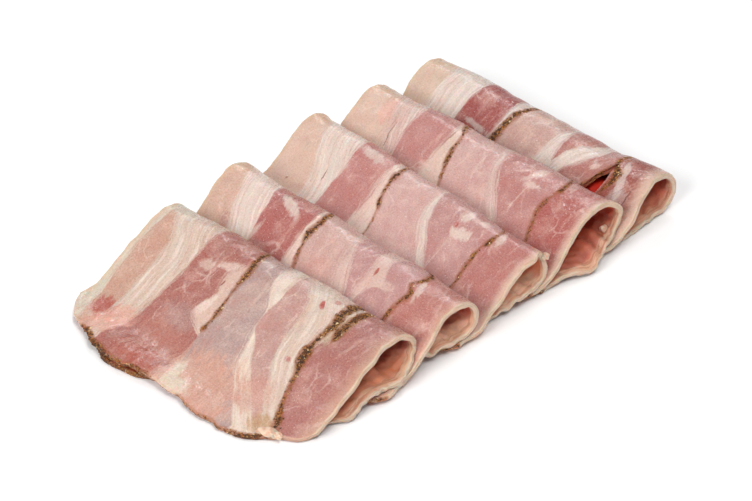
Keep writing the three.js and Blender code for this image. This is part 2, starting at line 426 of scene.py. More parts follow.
# %% Folds of the lower layer
FOLDS = {
    "slice_1": [(52, -37, 7, 3.4, 6), (49, -28, 6, 3, 2.5), (60, -44, 7, 3, 2), (50, -50, 9, 4, 1.6),
                (-20, 62, 19, 9, 2.4)],
    "slice_2": [(55, -35, 7, 3.2, 4), (59, -43, 6, 2.6, 2.6), (50, -50, 9, 3, 1.4)],
    "slice_3": [(56, -27, 8, 2.2, 1.8), (59, -33, 7, 2, 2), (54, -39, 9, 2.4, 2.2)],
    "slice_4": [(54, -31, 8, 2.4, 3), (58, -38, 7, 2.4, 3), (70, -44, 7, 9, -5)],
    "slice_5": [(54, -40, 10, 3, 1.6), (60, -33, 7, 2.4, 1), (36, -38, 10, 9, 8.5)],
}


def surface(name, x, along):
    """Points on the middle of a sheet, in millimetres, at X and arc length."""
    sheet = sheets[name]
    column = np.clip((x - columns[0]) / COLUMN, 0, len(columns) - 1.001)
    step = np.clip((along - lengths[0]) / (lengths[1] - lengths[0]), 0, len(lengths) - 1.001)
    i, j = column.astype(int), step.astype(int)
    a, b = column - i, step - j
    y, z = ((1 - a) * ((1 - b) * table[i, j] + b * table[i, j + 1])
            + a * ((1 - b) * table[i + 1, j] + b * table[i + 1, j + 1])
            for table in (sheet["y"], sheet["z"]))
    for fold_x, fold_t, wide, long, height in FOLDS[name]:
        z = z + height * np.exp(-((x - fold_x) / wide) ** 2 - ((along - fold_t) / long) ** 2)
    return np.stack([x, y, z], -1)


def facing(name, x, along):
    """Unit vectors that stand on the outer face of a sheet."""
    across = surface(name, x + 0.8, along) - surface(name, x - 0.8, along)
    forward = surface(name, x, along + 0.8) - surface(name, x, along - 0.8)
    out = np.cross(forward, across)
    return out / np.linalg.norm(out, axis=-1, keepdims=True)


middle = surface("slice_5", np.array([0.0]), np.array([0.0]))[0]
print("middle of the ridge of slice_5 at", middle.round(1))

# %% [markdown]
# ## A grid of points over a slice
#
# A Solidify modifier would give every edge the same square rim. Here the points are laid out one
# by one instead, in rows from the left to the right end and from tip to tip. Near a cut edge the
# rows lie close together, so that the edge can turn in a small round.

# %% Rows of points
EDGE_ROWS = np.array([0, 0.03, 0.1, 0.24, 0.45, 0.7])  # distances from the cut edge
EDGE_ROUND = 0.7
ACROSS_COUNT, ALONG_COUNT = 138, 160


def rows_between(length, count):
    """Distances over a length, closer together at both ends."""
    inner = EDGE_ROWS[-1]
    share = np.linspace(0, 1, count)[1:-1]
    middle = inner + (length[..., None] - 2 * inner) * share
    start = np.broadcast_to(EDGE_ROWS, (*length.shape, len(EDGE_ROWS)))
    return np.concatenate([start, middle, length[..., None] - start[..., ::-1]], -1)


def rounding(distance):
    """Share of the full thickness that is left near a cut edge."""
    inside = np.clip(1 - distance / EDGE_ROUND, 0, 1)
    return (1 - inside ** 3) ** (1 / 3)


def slice_grid(name):
    """X, arc length and edge distances of every grid point of a slice."""
    size, sheet = SLICES[name], sheets[name]
    across = rows_between(np.array(float(size["length"])), ACROSS_COUNT)
    base_x = size["left"] + across
    tip = np.interp(base_x, columns, sheet["tip"]) + uneven("front edge", name, base_x)
    tip = tip + uneven("front edge, fine", name, base_x) + humps(across, FRONTS.get(name, []))
    end = np.interp(base_x, columns, sheet["end"]) + uneven("back edge", name, base_x)
    end = end - humps(across, ENDS.get(name, []))
    down = rows_between(tip - end, ALONG_COUNT)
    along = tip[:, None] - down
    left, right = left_end(name, along), right_end(name, along)
    middle_share = (across[:, None] - EDGE_ROWS[-1]) / (size["length"] - 2 * EDGE_ROWS[-1])
    x = left + EDGE_ROWS[-1] + (right - left - 2 * EDGE_ROWS[-1]) * middle_share
    n = len(EDGE_ROWS)
    x[:n] = (left + across[:, None])[:n]
    x[-n:] = (right - (size["length"] - across[:, None]))[-n:]
    edges = np.stack([x - left, right - x, down, (tip - end)[:, None] - down], -1)
    return x, along, edges


print("points on each face of a slice:", slice_grid("slice_1")[0].size)

# %% [markdown]
# ## The split in the back slice
#
# Where two turns of the roll part, the slice tears open along its seam. The grid is moved until
# one of its rows lies on the tear, that row is doubled, and the two are drawn apart. A boolean
# cut could do it too, but it would leave ragged faces and lose the flat coordinates.

# %% Split
# at: distance from the left end where the tear starts and stops, start and stop: arc lengths,
# wide: the widest gap, reach: how far to each side the meat gives way.
SPLITS = {"slice_5": dict(at=(103.6, 97), start=1, stop=31, wide=7.0, reach=13)}
SPLIT_EASE = 6  # arc length over which rows bend onto the line of the tear
SPLIT_POINTED = 1.4  # how pointed the ends of the gap are
TORN_FROM = 0.4  # the sides are ragged where the gap is wider than this


def opened(name, x, along, edges):
    """Opens the split in a grid. Returns the grid with one row doubled, and that row."""
    split, left = SPLITS[name], SLICES[name]["left"]
    start, stop, (at_start, at_stop) = split["start"], split["stop"], split["at"]
    u = np.clip((along - start) / (stop - start), 0, 1)
    line = left + at_start + (at_stop - at_start) * u
    width = split["wide"] * np.sin(math.pi * u) ** SPLIT_POINTED
    quarter = x.shape[1] // 4  # from the tip, where the tear starts
    row = int(np.argmin(abs(x[:, quarter] - (left + at_start))))
    near = np.clip(1 - ((x - x[row]) / split["reach"]) ** 2, 0, 1) ** 2
    to_ends = np.minimum(along - start + SPLIT_EASE, stop + SPLIT_EASE - along)
    x = x + (line - x[row]) * near * np.clip(to_ends / SPLIT_EASE, 0, 1)
    width = width + (width > TORN_FROM) * uneven("sides of the split", name, along)
    side = np.sign(np.arange(len(x)) - row - 0.5)[:, None]
    pushed = x + side * width / 2 * near
    x = np.concatenate([pushed[:row + 1], x[row:row + 1] + width[row] / 2, pushed[row + 1:]])
    rows = list(range(row + 1)) + list(range(row, len(along)))
    return x, along[rows], edges[rows], row


print("the split of slice_5 is", SPLITS["slice_5"]["wide"], "mm wide")

# %% [markdown]
# ## From a sheet to a solid
#
# The two faces of a slice lie half a sheet out and half a sheet in from its middle, and they
# come together in a rounded cut edge. Inside the loop the meat is crumpled near its open end.
# Three sets of values stay on the points for the materials: the place on the flat slice, how
# deep in the sheet the point lies, and the distances from its edges.

# %% Two faces
# The crumpled part: how deep it reaches in from the right edge, from which arc length on, over
# which length it grows, and how wide the smooth rim in front of it is.
MOUTH_DEPTH, MOUTH_FROM, MOUTH_GROWS, MOUTH_RIM = 35, -4, 14, 4


def two_faces(name, x, along, edges):
    """Points, flat places and rim distances of the outer and the inner face, in mm."""
    thick = rounding(edges.min(-1))
    flat_s = x - SLICES[name]["left"]
    middle, out = surface(name, x, along), facing(name, x, along)
    half = SHEET / 2 * thick * (1 + uneven("thickness", name, flat_s, along))
    points, flats, rims = [], [], []
    for sign, word in ((1, "outer face"), (-1, "inner face")):
        bump = thick * uneven(word, name, flat_s, along)
        bump = bump + thick * uneven(word + ", fine", name, flat_s, along)
        if word == "inner face":
            mouth = np.clip(1 - edges[..., 1] / MOUTH_DEPTH, 0, 1)
            mouth = mouth * np.clip((MOUTH_FROM - along) / MOUTH_GROWS, 0, 1)
            mouth = mouth * np.clip(edges[..., 1] / MOUTH_RIM, 0, 1)
            bump = bump + thick * mouth * uneven("mouth of the loop", name, flat_s, along)
        face = middle + out * (sign * half + bump)[..., None]
        face[..., 2] = np.maximum(face[..., 2], 0)  # what lies on the table is pressed flat
        points.append(face)
        flats.append(np.stack([flat_s, along, sign * half], -1))
        rims.append(np.stack([edges[..., 0], edges[..., 1], edges[..., 2:].min(-1)], -1))
    return points, flats, rims


sample = two_faces("slice_1", *slice_grid("slice_1"))[1][0][..., 2] * 2
print("slice_1 is at most", round(float(sample.max()), 2), "mm thick")

# %% [markdown]
# ## One closed mesh
#
# The two faces share their points along the outer edges, so the solid is closed. Where a slice
# is split, walls join the faces along the tear.

# %% Mesh of a slice
TORN = 0.02  # the sides of a split are apart where they are farther than this from each other


def closed_mesh(name, points, flats, rims, row=-1):
    """Joins the two faces of a slice into one mesh. A row of 0 or more is split."""
    count_x, count_t = points[0].shape[:2]
    number = np.arange(2 * count_x * count_t).reshape(2, count_x, count_t)
    number[1, 0], number[1, -1] = number[0, 0], number[0, -1]
    number[1, :, 0], number[1, :, -1] = number[0, :, 0], number[0, :, -1]
    wall = []
    if row >= 0:
        apart = np.linalg.norm(points[0][row] - points[0][row + 1], axis=-1) > TORN
        for face in (0, 1):
            number[face, row + 1, ~apart] = number[face, row, ~apart]
        for j in range(count_t - 1):
            if apart[j] or apart[j + 1]:
                a, b = number[:, row, j], number[:, row, j + 1]
                c, d = number[:, row + 1, j], number[:, row + 1, j + 1]
                wall += [[a[0], b[0], b[1], a[1]], [d[0], c[0], c[1], d[1]]]
    faces = []
    for face, grid in enumerate(number):
        quads = np.stack([grid[:-1, :-1], grid[1:, :-1], grid[1:, 1:], grid[:-1, 1:]], -1)
        quads = quads[np.arange(count_x - 1) != row].reshape(-1, 4)
        faces += (quads if face == 0 else quads[:, ::-1]).tolist()
    for quad in wall:
        corners = list(dict.fromkeys(int(v) for v in quad))
        if len(corners) > 2:
            faces.append(corners)
    place = np.concatenate([p.reshape(-1, 3) for p in points]) * MM
    used = np.unique(np.concatenate([np.array(f) for f in faces]))
    new = np.full(len(place), -1)
    new[used] = np.arange(len(used))
    mesh = bpy.data.meshes.new(name + "_meat")
    mesh.from_pydata(place[used].tolist(), [], [[int(new[v]) for v in f] for f in faces])
    for label, values in (("flat", flats), ("rim", rims)):
        attribute = mesh.attributes.new(label, "FLOAT_VECTOR", "POINT")
        stacked = np.concatenate([v.reshape(-1, 3) for v in values])[used]
        attribute.data.foreach_set("vector", stacked.astype(np.float32).ravel())
    mesh.validate()
    mesh.shade_smooth()
    return mesh


def placed(name, data):
    """A new object in the scene."""
    piece = bpy.data.objects.new(name, data)
    bpy.context.scene.collection.objects.link(piece)
    return piece


meats = {}
for name in SLICES:
    x, along, edges = slice_grid(name)
    row = -1
    if name in SPLITS:
        x, along, edges, row = opened(name, x, along, edges)
    mesh = closed_mesh(name, *two_faces(name, x, along, edges), row)
    meats[name] = placed(name + "_meat", mesh)
    low = np.min([v.co for v in mesh.vertices], 0) / MM
    high = np.max([v.co for v in mesh.vertices], 0) / MM
    print(name, len(mesh.polygons), "faces", low.round(1), high.round(1))

# %% [markdown]
# ## Adding nodes
#
# A material is a tree of nodes. One small function adds any node. Its settings are a dictionary,
# and its inputs follow in the order of the node's sockets, or in a dictionary by name or number.
# An input that is another node's output is linked, any other is a value, and None leaves a
# socket as it is. The function gives the node's output, so that calls can be nested like
# arithmetic.


# %% Add a node
def add(tree, kind, settings, *inputs, out=0):
    """Adds one node with its settings and links, and gives its output of that number or name."""
    node = tree.nodes.new("ShaderNode" + kind)
    for key, value in settings.items():
        setattr(node, key, value)
    named = inputs[0] if inputs and isinstance(inputs[0], dict) else dict(enumerate(inputs))
    for key, value in named.items():
        if isinstance(value, bpy.types.NodeSocket):
            tree.links.new(value, node.inputs[key])
        elif value is not None:
            node.inputs[key].default_value = value
    return node.outputs[out] if node.outputs else node


def blank_material(name):
    """A new material and its tree of nodes, still empty."""
    material = bpy.data.materials.new(name)
    material.use_nodes = True
    material.node_tree.nodes.clear()
    return material, material.node_tree


PLAIN = {}
SMOOTH = {"interpolation_type": "SMOOTHSTEP"}
PLUS, MINUS, TIMES, TIMES_PLUS, DIVIDED, LARGER, ABSOLUTE, LENGTH, SCALED = (
    {"operation": word} for word in (
        "ADD", "SUBTRACT", "MULTIPLY", "MULTIPLY_ADD", "DIVIDE", "MAXIMUM", "ABSOLUTE", "LENGTH",
        "SCALE"))
print("settings of a node that multiplies:", TIMES)

# %% [markdown]
# ## The marbling of rolled belly
#
# Belly is layers of lean and fat. Rolled and cut across, they show as bands over the slice, with
# a line of pepper and herbs wherever one turn of the roll lies on the next. The slices come
# one after another off the same roll, so all five have the same bands, each a little moved.
#
# A band starts at a line over the slice. A line is a few places, each an arc length from the
# fold and the distance from the left end there. A point right of the line has the band's
# colour, and each later line paints over the earlier ones.

# %% Colours of the meat
# Each slice has its own tones: cream is fat dried at the edge, peach the pale cooked-looking
# lean at the left end, fat the back fat, and lean, pale, pink and outer are muscles in the
# order in which the roll shows them.
TONES = {
    "slice_1": dict(cream="#cbbfae", peach="#c19b89", fat="#cbb7a8", lean="#a76e65",
                    pale="#ae948e", pink="#b9938a", outer="#a7726a"),
    "slice_2": dict(cream="#caae9f", peach="#c9a897", fat="#d7c5ba", lean="#aa6963",
                    pale="#c4a097", pink="#b88d89", outer="#b27970"),
    "slice_3": dict(cream="#d0b7a7", peach="#cfb1a1", fat="#d6c6bb", lean="#b9827c",
                    pale="#c8a39c", pink="#b88b86", outer="#b17871"),
    "slice_4": dict(cream="#ceb2a3", peach="#d0b4a4", fat="#cdb4ab", lean="#b9857f",
                    pale="#c6a099", pink="#b6837d", outer="#aa655e"),
    "slice_5": dict(cream="#c9aa9b", peach="#cdb4a2", fat="#d2c5bc", lean="#9d5955",
                    pale="#bc9a90", pink="#ad7870", outer="#98544a"),
}
# How far each colour's border runs into its neighbour, in mm.
SOFTNESS = dict(cream=1.5, peach=1.5, fat=1.3, lean=1.0, pale=0.6, pink=1.1, outer=0.6)
OTHER_SOFTNESS = 1.5


def tone(name, word):
    """The hex colour that a slice gives to a word; a hex colour stays itself."""
    return TONES[name].get(word, word)


# Each band: its colour, how fat it is from 0 to 1, and the line where it starts.
BANDS = {
    "slice_1": [
        ("cream", 0.7, [(0, 0)]),
        ("peach", 0.1, [(-10, 5), (10, 3.5), (30, 3.8), (45, 6.5), (55, 10)]),
        ("fat", 1, [(-8, 4), (1, 7.4), (11, 13.6), (23, 15.8), (36, 15.5), (46, 14.5), (54, 17)]),
        ("lean", 0, [(-8, 28), (8, 29), (20, 29), (32, 28), (42, 27), (50, 25)]),
        ("#cdb0a2", 0.35, [(-8, 51), (-2, 51), (5, 48.5), (10, 46), (16, 47.5), (21, 49), (25, 46),
                           (30, 44.5), (34, 51), (37, 57)]),
        ("pale", 0, [(-12, 46), (-2, 50), (5, 52), (15, 53), (24, 55), (33, 55.5), (52, 58), (62, 59)]),
        ("#d8c7b7", 0.7, [(-8, 63), (-1.5, 63.6), (5, 65.1), (11, 68), (15, 71), (24, 72.6),
                       (32, 75.2), (40, 78), (47, 83), (54, 89.7), (60, 96)]),
        ("pink", 0, [(-8, 70), (-2, 70.4), (6, 71.6), (11, 71.8), (16, 71.6), (24, 73), (28, 76.8),
                     (34, 81.2), (40, 86.6), (45, 91.4), (51, 98), (60, 107)]),
        ("fat", 0.9, [(-6, 72), (-2.7, 75.5), (2, 79.5), (7, 83), (17, 85.5), (27, 88), (36, 93),
                      (46, 98), (53, 104)]),
        ("outer", 0, [(-10, 99), (0, 102), (8, 101), (22, 99), (29, 100.5), (36, 102), (43, 105),
                      (50, 108.5), (56, 110)]),
    ],
    "slice_2": [
        ("peach", 0.15, [(0, 0)]),
        ("fat", 1, [(-8, 4), (0, 9), (10, 13), (17, 16), (24, 19)]),
        ("lean", 0, [(-8, 23), (-3, 24), (5, 27), (15, 28.5), (22, 29.5)]),
        ("#d9c0b3", 0.5, [(-8, 46), (0, 48), (8, 48.5), (22, 49)]),
        ("pale", 0.05, [(-8, 47), (-5, 50), (3, 51.5), (10, 52), (18, 52.5), (26, 57)]),
        ("#cdb1a7", 0.5, [(-8, 65), (-3, 68.5), (2, 70), (8, 71.8), (14, 74.2), (20, 77)]),
        ("pink", 0, [(-8, 69), (-3, 70.5), (2, 72.4), (8, 75.5), (14, 79), (20, 82)]),
        ("#cfb0a5", 0.45, [(-8, 83), (0, 83), (10, 84), (20, 84.5)]),
        ("pink", 0, [(-8, 91), (0, 89.5), (4, 90.5), (10, 93), (13, 89), (20, 87)]),
        ("outer", 0, [(-12, 94), (-8, 99), (-3, 104), (5, 103), (8, 105.5), (15, 103), (20, 102.5)]),
    ],
    "slice_3": [
        ("peach", 0.25, [(0, 0)]),
        ("fat", 1, [(-8, 8), (0, 11), (10, 15), (20, 19), (28, 21)]),
        ("lean", 0, [(-8, 28), (0, 29.5), (10, 30.5), (30, 30.5)]),
        ("#d9bfb3", 0.5, [(-8, 48), (5, 49), (15, 49.5), (28, 49)]),
        ("pale", 0.05, [(-6, 51), (0, 53), (6, 53.6), (12, 54.8), (17, 56.8), (24, 58.4), (30, 60)]),
        ("fat", 0.85, [(-8, 73.5), (1, 74.5), (8, 75), (15, 77), (20, 80.3), (28, 86.5)]),
        ("pink", 0, [(-8, 74.5), (1, 76.2), (8, 77.6), (15, 81), (20, 85), (28, 92)]),
        ("outer", 0, [(-12, 99), (-6, 104), (0, 108), (5, 107.5), (10, 106), (20, 106), (28, 108)]),
    ],
    "slice_4": [
        ("peach", 0.2, [(0, 0)]),
        ("fat", 1, [(-8, 12), (0, 15.5), (10, 19), (20, 23)]),
        ("lean", 0, [(-8, 26), (0, 27.5), (10, 28.5), (20, 29.5)]),
        ("#d5bcae", 0.45, [(-8, 44), (0, 46), (10, 46.5), (24, 46)]),
        ("pale", 0.05, [(-10, 43), (-1, 49.5), (5, 51.5), (10, 53), (18, 56), (25, 58.5)]),
        ("fat", 0.85, [(-5, 69.4), (0, 70.5), (6, 72), (12, 74.5), (18, 78.5), (26, 84.5)]),
        ("pink", 0, [(-5, 70.6), (0, 72.2), (6, 74.8), (12, 78.6), (18, 83), (26, 89.5)]),
        ("outer", 0, [(-6, 100), (0, 102.5), (10, 102), (17, 103), (23, 105), (28, 107.5)]),
    ],
    "slice_5": [
        ("peach", 0.45, [(0, 0)]),
        ("fat", 1, [(-6, 12), (0, 13.5), (10, 12.5), (18, 12)]),
        ("lean", 0, [(-6, 30), (0, 30), (10, 29.5), (18, 28.5)]),
        ("fat", 0.5, [(-6, 47), (0, 47.5), (10, 47.5), (18, 46)]),
        ("pale", 0.05, [(-6, 53), (0, 51.5), (6, 51), (16, 49)]),
        ("fat", 0.85, [(-6, 74), (0, 72.6), (8, 71.6), (17, 69.5)]),
        ("pink", 0, [(-6, 75.5), (0, 76.4), (8, 77.4), (13, 78.5), (17, 79.5)]),
        ("fat", 0.85, [(-6, 90), (-3, 88), (4, 83), (12, 79.5), (17, 78)]),
        ("pink", 0.05, [(-6, 94), (-3, 94), (2, 92), (8, 88), (13, 85), (17, 83)]),
        ("outer", 0.1, [(-6, 101), (2, 103), (10, 101), (16, 98)]),
    ],
}
print({name: len(bands) for name, bands in BANDS.items()}, "bands")

# %% [markdown]
# ## Blots
#
# Smaller marks don't run across the slice: a lobe of red lean, an island of fat, a blood spot,
# and dark red spots of painted shade in small hollows deep inside a loop.
# Each blot is a turned ellipse with a ragged border: colour, how fat it is, distance from the
# left end, arc length, its two half sizes, its turn in degrees, and how strong it is.

# %% Blots
DRY_CORNER = ("#cfae90", 0.3, 1, -3, 8, 5, 0, 0.6)  # the dry upper left corner of slices 2 to 5
BLOTS = {
    "slice_1": [
        ("cream", 0.7, 5, -6, 9, 6, 0, 0.9),
        ("#dba392", 0, 21, 48, 8, 7, -15, 0.7),
        ("#ab584c", 0, 12, 47, 4.8, 6, -15, 0.9),
        ("#dfcbbd", 0.5, 36, 12, 3.8, 2.6, -10, 0.5),
        ("#e0cfc2", 0.5, 44.5, 7.2, 4.8, 2.0, -28, 0.6),
        ("#e2cfc2", 0.4, 48.3, 25, 2.2, 5.5, 14, 0.6),
        ("#c49d93", 0.1, 36, 4, 5, 5, 0, 0.35),
        ("#bb9d93", 0, 61, 17, 6, 13, 0, 0.7),
        ("#dcc9bc", 0.5, 67, 3, 2.9, 8.5, -16, 0.85),
        ("#a57e78", 0.1, 43, 34.5, 8.5, 6, 15, 0.8),
        ("#b47c6f", 0.2, 43, 45, 14, 7, 0, 0.75),
        ("#9c6258", 0, 38, 2, 7, 5, 10, 0.5),
        ("#c99b89", 0.45, 73, 55, 20, 17, 20, 0.9),
        ("#dba392", 0, 20, 54, 8, 5, 0, 0.7),
        ("#a75848", 0.4, 44, 58, 11, 6.5, 0, 0.9),
        ("#d2c1ae", 0.3, 61.5, 57, 2.4, 11, -16, 1),
        ("#d2c1ae", 0.3, 66, 62, 6.5, 6.5, -30, 1),
        ("#a83a34", 0, 87.2, 2.4, 1.1, 2.4, -30, 0.85),
        ("#b8584e", 0, 90.8, -2.8, 1.2, 1.6, 20, 0.55),
        ("#b98079", 0, 94.2, 27, 1.4, 1.2, 0, 0.9),
        ("#8c4a40", 0, 47.6, 14.8, 0.5, 1.6, 10, 0.8),
        ("#a34b3c", 0, 31, 9.4, 2.2, 0.5, 10, 0.5),
        ("#c8998a", 0, 92, 46, 8, 10, 35, 0.6),
        # Painted shade: dark red spots in small hollows deep inside the loop.
        ("#6b1d14", 0, 112, -34, 1.6, 1.2, 20, 0.9),
        ("#6b1d14", 0, 115, -39, 0.9, 1.4, 0, 0.8),
        ("#b39f84", 0.3, 100.8, 5, 3.6, 10, 0, 0.85),
        ("#b99672", 0.3, 104, 53, 5, 5, 35, 0.85),
    ],
    "slice_2": [
        DRY_CORNER,
        ("fat", 1, 35.5, 1, 8.5, 2.3, 28, 0.75),
        ("fat", 1, 29.5, 18, 1.4, 6, 10, 0.6),
        ("#b98178", 0, 41, -3, 5, 3.5, 10, 0.7),
        ("#a83c34", 0, 87, 6, 0.8, 1.9, -20, 0.8),
        ("#cfb0a5", 0.45, 94.5, 9.5, 4.5, 2.2, 0, 0.7),
        ("fat", 1, 107, 3, 1.5, 5, -12, 0.6),
        ("#d39288", 0, 64, 16, 6, 5, 0, 0.25),
        ("lean", 0, 14.5, 19, 2.5, 5, -15, 0.4),
    ],
    "slice_3": [
        DRY_CORNER,
        ("fat", 1, 38, 1, 7, 2.4, 5, 0.6),
        ("fat", 1, 30.5, 14, 1.6, 5, 15, 0.6),
        ("#dac4b8", 0.5, 95.5, 8.4, 5, 2.7, -12, 0.85),
        ("#dac4b8", 0.5, 92.4, 1, 2.3, 3.4, 15, 0.8),
        ("#dac4b8", 0.4, 100.2, -0.5, 2.4, 1.8, 0, 0.6),
        ("#dac4b8", 0.3, 91.8, 20, 0.4, 8, 0, 0.4),
        ("#a83c34", 0, 91.2, 6.4, 0.9, 1.7, -15, 0.7),
        ("pale", 0.2, 95, 17, 6, 5, 0, 0.6),
        ("fat", 1, 110.5, 1, 1.8, 4, -20, 0.6),
        ("peach", 0.2, 9, 25, 13, 7, -20, 0.7),
        ("#9c5a50", 0, 11, 26, 0.7, 0.6, 0, 0.7),
        ("#6f4634", 0, 25.2, 18, 0.25, 3, -8, 0.8),
        # Painted shade: a dark red spot in a hollow deep inside the loop.
        ("#7a2a18", 0, 121, -30, 0.8, 1.2, 0, 0.8),
    ],
    "slice_4": [
        DRY_CORNER,
        ("#d9a597", 0, 15, 5, 3, 7, -15, 0.6),
        ("fat", 1, 105, -3, 1.6, 4, -25, 0.5),
        ("#dcc3b8", 0.4, 90.5, 0, 2.2, 3.4, 10, 0.6),
        ("#dcc3b8", 0.4, 92.5, 6.6, 3.4, 1.7, -12, 0.65),
        ("#dcc3b8", 0.4, 88.5, 4, 1.2, 3.6, 25, 0.5),
        ("#dcc3b8", 0.3, 91.2, 14, 0.4, 7, 0, 0.5),
        ("#b0635a", 0, 87, 2, 0.6, 2.6, 0, 0.6),
        ("#8c4a40", 0, 47, 4, 0.45, 5, 0, 0.55),
        ("#7d5443", 0, 23.6, 15, 0.2, 6.5, -8, 0.7),
        # Painted shade: a dark red wrinkle deep inside the loop.
        ("#7a1f12", 0, 114, -33, 0.8, 3, 30, 0.9),
    ],
    "slice_5": [
        DRY_CORNER,
        ("fat", 1, 39, 14.5, 6, 1.5, 8, 0.6),
        ("fat", 1, 94.5, 4, 0.8, 3, -25, 0.5),
        ("fat", 1, 110, 7, 1.8, 11, -20, 0.6),
        ("fat", 0.9, 113, 15, 5, 5, -30, 0.4),
        ("#dcc3b6", 0.5, 96, 6, 2.6, 1.6, -20, 0.6),
        ("#5a2318", 0, 117, 13, 0.35, 5, 0, 0.8),
    ],
}
print({name: len(blots) for name, blots in BLOTS.items()}, "blots")

# %% [markdown]
# ## Spice seams
#
# Between two turns of the roll lies a line of crushed pepper and herbs, dark brown with ochre
# and olive flecks. Each seam is a list of places: arc length, distance from the left end, and
# half its width there. Where the roll was tight the seam is hardly a hair wide.

# %% Seams
SEAMS = {
    "slice_1": [
        [(-14, 45, 0.5), (-7, 49, 1.0), (-2, 50.6, 1.4), (3, 52, 1.4), (8, 52.7, 1.2), (14, 53.4, 0.5),
         (21, 54.6, 0.35), (25, 55.5, 1.1), (29, 55.6, 0.3), (33, 55.5, 1.0), (36, 56, -0.7),
         (62, 59, -1.5)],
        [(-12, 95.6, 2.8), (-6, 95.8, 2.0), (1, 96.6, 2.0), (6, 98, 1.9), (12, 97.7, 1.2),
         (18, 97.7, 1.5), (22, 98.4, 2.6), (26, 99.5, 2.1), (30, 101.2, 0.9), (36, 103, 0.7),
         (43, 105.2, 0.8), (48, 107.6, 1.5), (52, 109, 1.2), (57, 109.5, 0.6)],
        [(-12, 101, 1.6), (-2, 102.1, 1.9), (4, 102.3, 1.8), (8, 102.6, 2.1), (11, 102.9, 1.3),
         (14, 103.6, -0.5), (20, 105, -2)],
    ],
    "slice_2": [
        [(-12, 46, 0.6), (-4, 50, 1.1), (3, 51.6, 1.4), (9, 51.6, 1.2), (13, 52.6, 0.4),
         (17, 53.6, 0.9), (20, 54.8, 0.5), (26, 57, 0.5)],
        [(-12, 95, 0.6), (-5, 104.4, 1.3), (-1, 104.6, 1.2), (3, 102.8, 0.7), (7, 105.2, 1.1),
         (14, 103.6, 0.7), (22, 102.8, 0.7)],
    ],
    "slice_3": [
        [(-8, 50, 0.5), (-2, 52.6, 0.9), (3, 53.2, 1.5), (7, 53.6, 0.6), (12, 54.6, 0.6),
         (16, 56, 1.0), (18, 56.8, 0.15), (32, 60, 0.06)],
        [(-14, 97, 0.6), (-6, 104.8, 0.8), (0, 108, 0.5), (5.5, 107.6, 1.2), (8, 106.6, 0.1),
         (12, 106, 0.7), (18, 106, 0.6), (26, 107.2, 0.45)],
    ],
    "slice_4": [
        [(-12, 42, 1.0), (-5, 46.6, 1.3), (-1, 49.4, 0.9), (3, 51.4, 0.5), (7, 52.4, 0.9),
         (11, 53.2, 1.1), (18, 55.8, 0.6), (26, 58.4, 0.3)],
        [(-10, 98, 0.8), (-4, 101.6, 0.8), (2, 103.2, 1.2), (6, 102.4, 0.2), (11, 102, 0.9),
         (16, 103, 0.8), (28, 107, 0.5)],
    ],
    "slice_5": [
        [(-8, 53.8, 0.7), (-2, 52.6, 1.0), (3, 51.2, 1.5), (9, 50.6, 1.3), (15, 49.6, 1.8),
         (20, 48.4, 1.4)],
        [(-8, 101.4, 0.4), (-2, 102.2, 0.8), (1, 103.2, 1.0), (5, 106.4, 1.8), (9, 107, 1.5),
         (13, 105.8, 0.6), (20, 104.6, 0.3)],
        [(1, 103, 0.2), (6, 100.6, 0.5), (11, 98.4, 0.6), (16, 96, 0.7), (20, 94.6, 0.6)],
    ],
}
print({name: len(seams) for name, seams in SEAMS.items()}, "seams")

# %% [markdown]
# ## Lines over a slice
#
# A band's border, a seam's middle and its width all change smoothly along the slice. A curve
# node holds such a line as a few places, so the line stays smooth however near one looks. A
# painted picture would need far more data, and would blur.

# %% Line over a slice
T_RANGE = (-20, 65)  # arc lengths between which a line over the slice is drawn
S_SPAN = 130  # longest distance from the left end


def draw_line(tree, value, places, span=T_RANGE):
    """Adds a smooth curve through places (input, output) over a span, and gives its output."""
    share = add(tree, "MapRange", PLAIN, value, *span)
    height = add(tree, "FloatCurve", PLAIN, {"Value": share})
    mapping = height.node.mapping
    points = mapping.curves[0].points
    spots = [((t - span[0]) / (span[1] - span[0]), v / S_SPAN) for t, v in places]
    while len(points) < len(spots):
        points.new(0.5, 0.5)
    for point, spot in zip(points, spots):
        point.location = spot
        point.handle_type = "AUTO_CLAMPED"
    mapping.extend = "HORIZONTAL"
    mapping.use_clip = False
    mapping.update()
    return add(tree, "Math", TIMES, height, S_SPAN)


print("a line is read over", T_RANGE[1] - T_RANGE[0], "mm of arc length")

# %% [markdown]
# ## Crust at the cut edge and rim of fat
#
# The outside of the roll carries the thickest spice. Where a slice's front edge runs along it,
# the edge is a brown crust, layered and torn. Its width is a line too, over the distance from
# the left end. The right end is a rim of cream-coloured fat, and the meat beside it is paler.

# %% Crust and rim widths
CRUSTS = {
    "slice_1": [(0, -1), (12, -1), (16, 0.8), (20, 1.9), (33, 1.8), (40, 0.7), (54, 0.7),
                (58, -1), (67, -1), (71, 0), (80, 0.3), (92, 0.4), (98, 0.8), (103, 1.6),
                (106, 1.6), (109, 0.3), (112, -1), (124, -1)],
    "slice_2": [(0, -1), (70, -0.8), (85, 0.3), (100, 0.9), (112, 1.5), (126, 0.6)],
    "slice_3": [(0, -1), (70, -0.8), (85, 0.4), (100, 1.2), (130, 0.3)],
    "slice_4": [(0, -1), (70, -0.8), (85, 0.4), (100, 1.4), (125, 0.6)],
    "slice_5": [(0, -1), (70, -0.8), (85, 0.2), (100, 0.8), (125, 0.3)],
}
# How far the pale meat reaches in from the right end, and how pale it gets.
PALE_ENDS = {"slice_1": (7, 0.6, "#c8a690"), "slice_2": (5, 0.6, "#ceaa96"),
             "slice_3": (5, 0.8, "#d4b8a6"), "slice_4": (5, 0.8, "#d4b6a6"),
             "slice_5": (8, 0.8, "#d6baa9")}
RIM_FAT, RIM_LAYER = "#c8b49f", "#a98766"
print("widest crust", max(width for crust in CRUSTS.values() for _, width in crust), "mm")

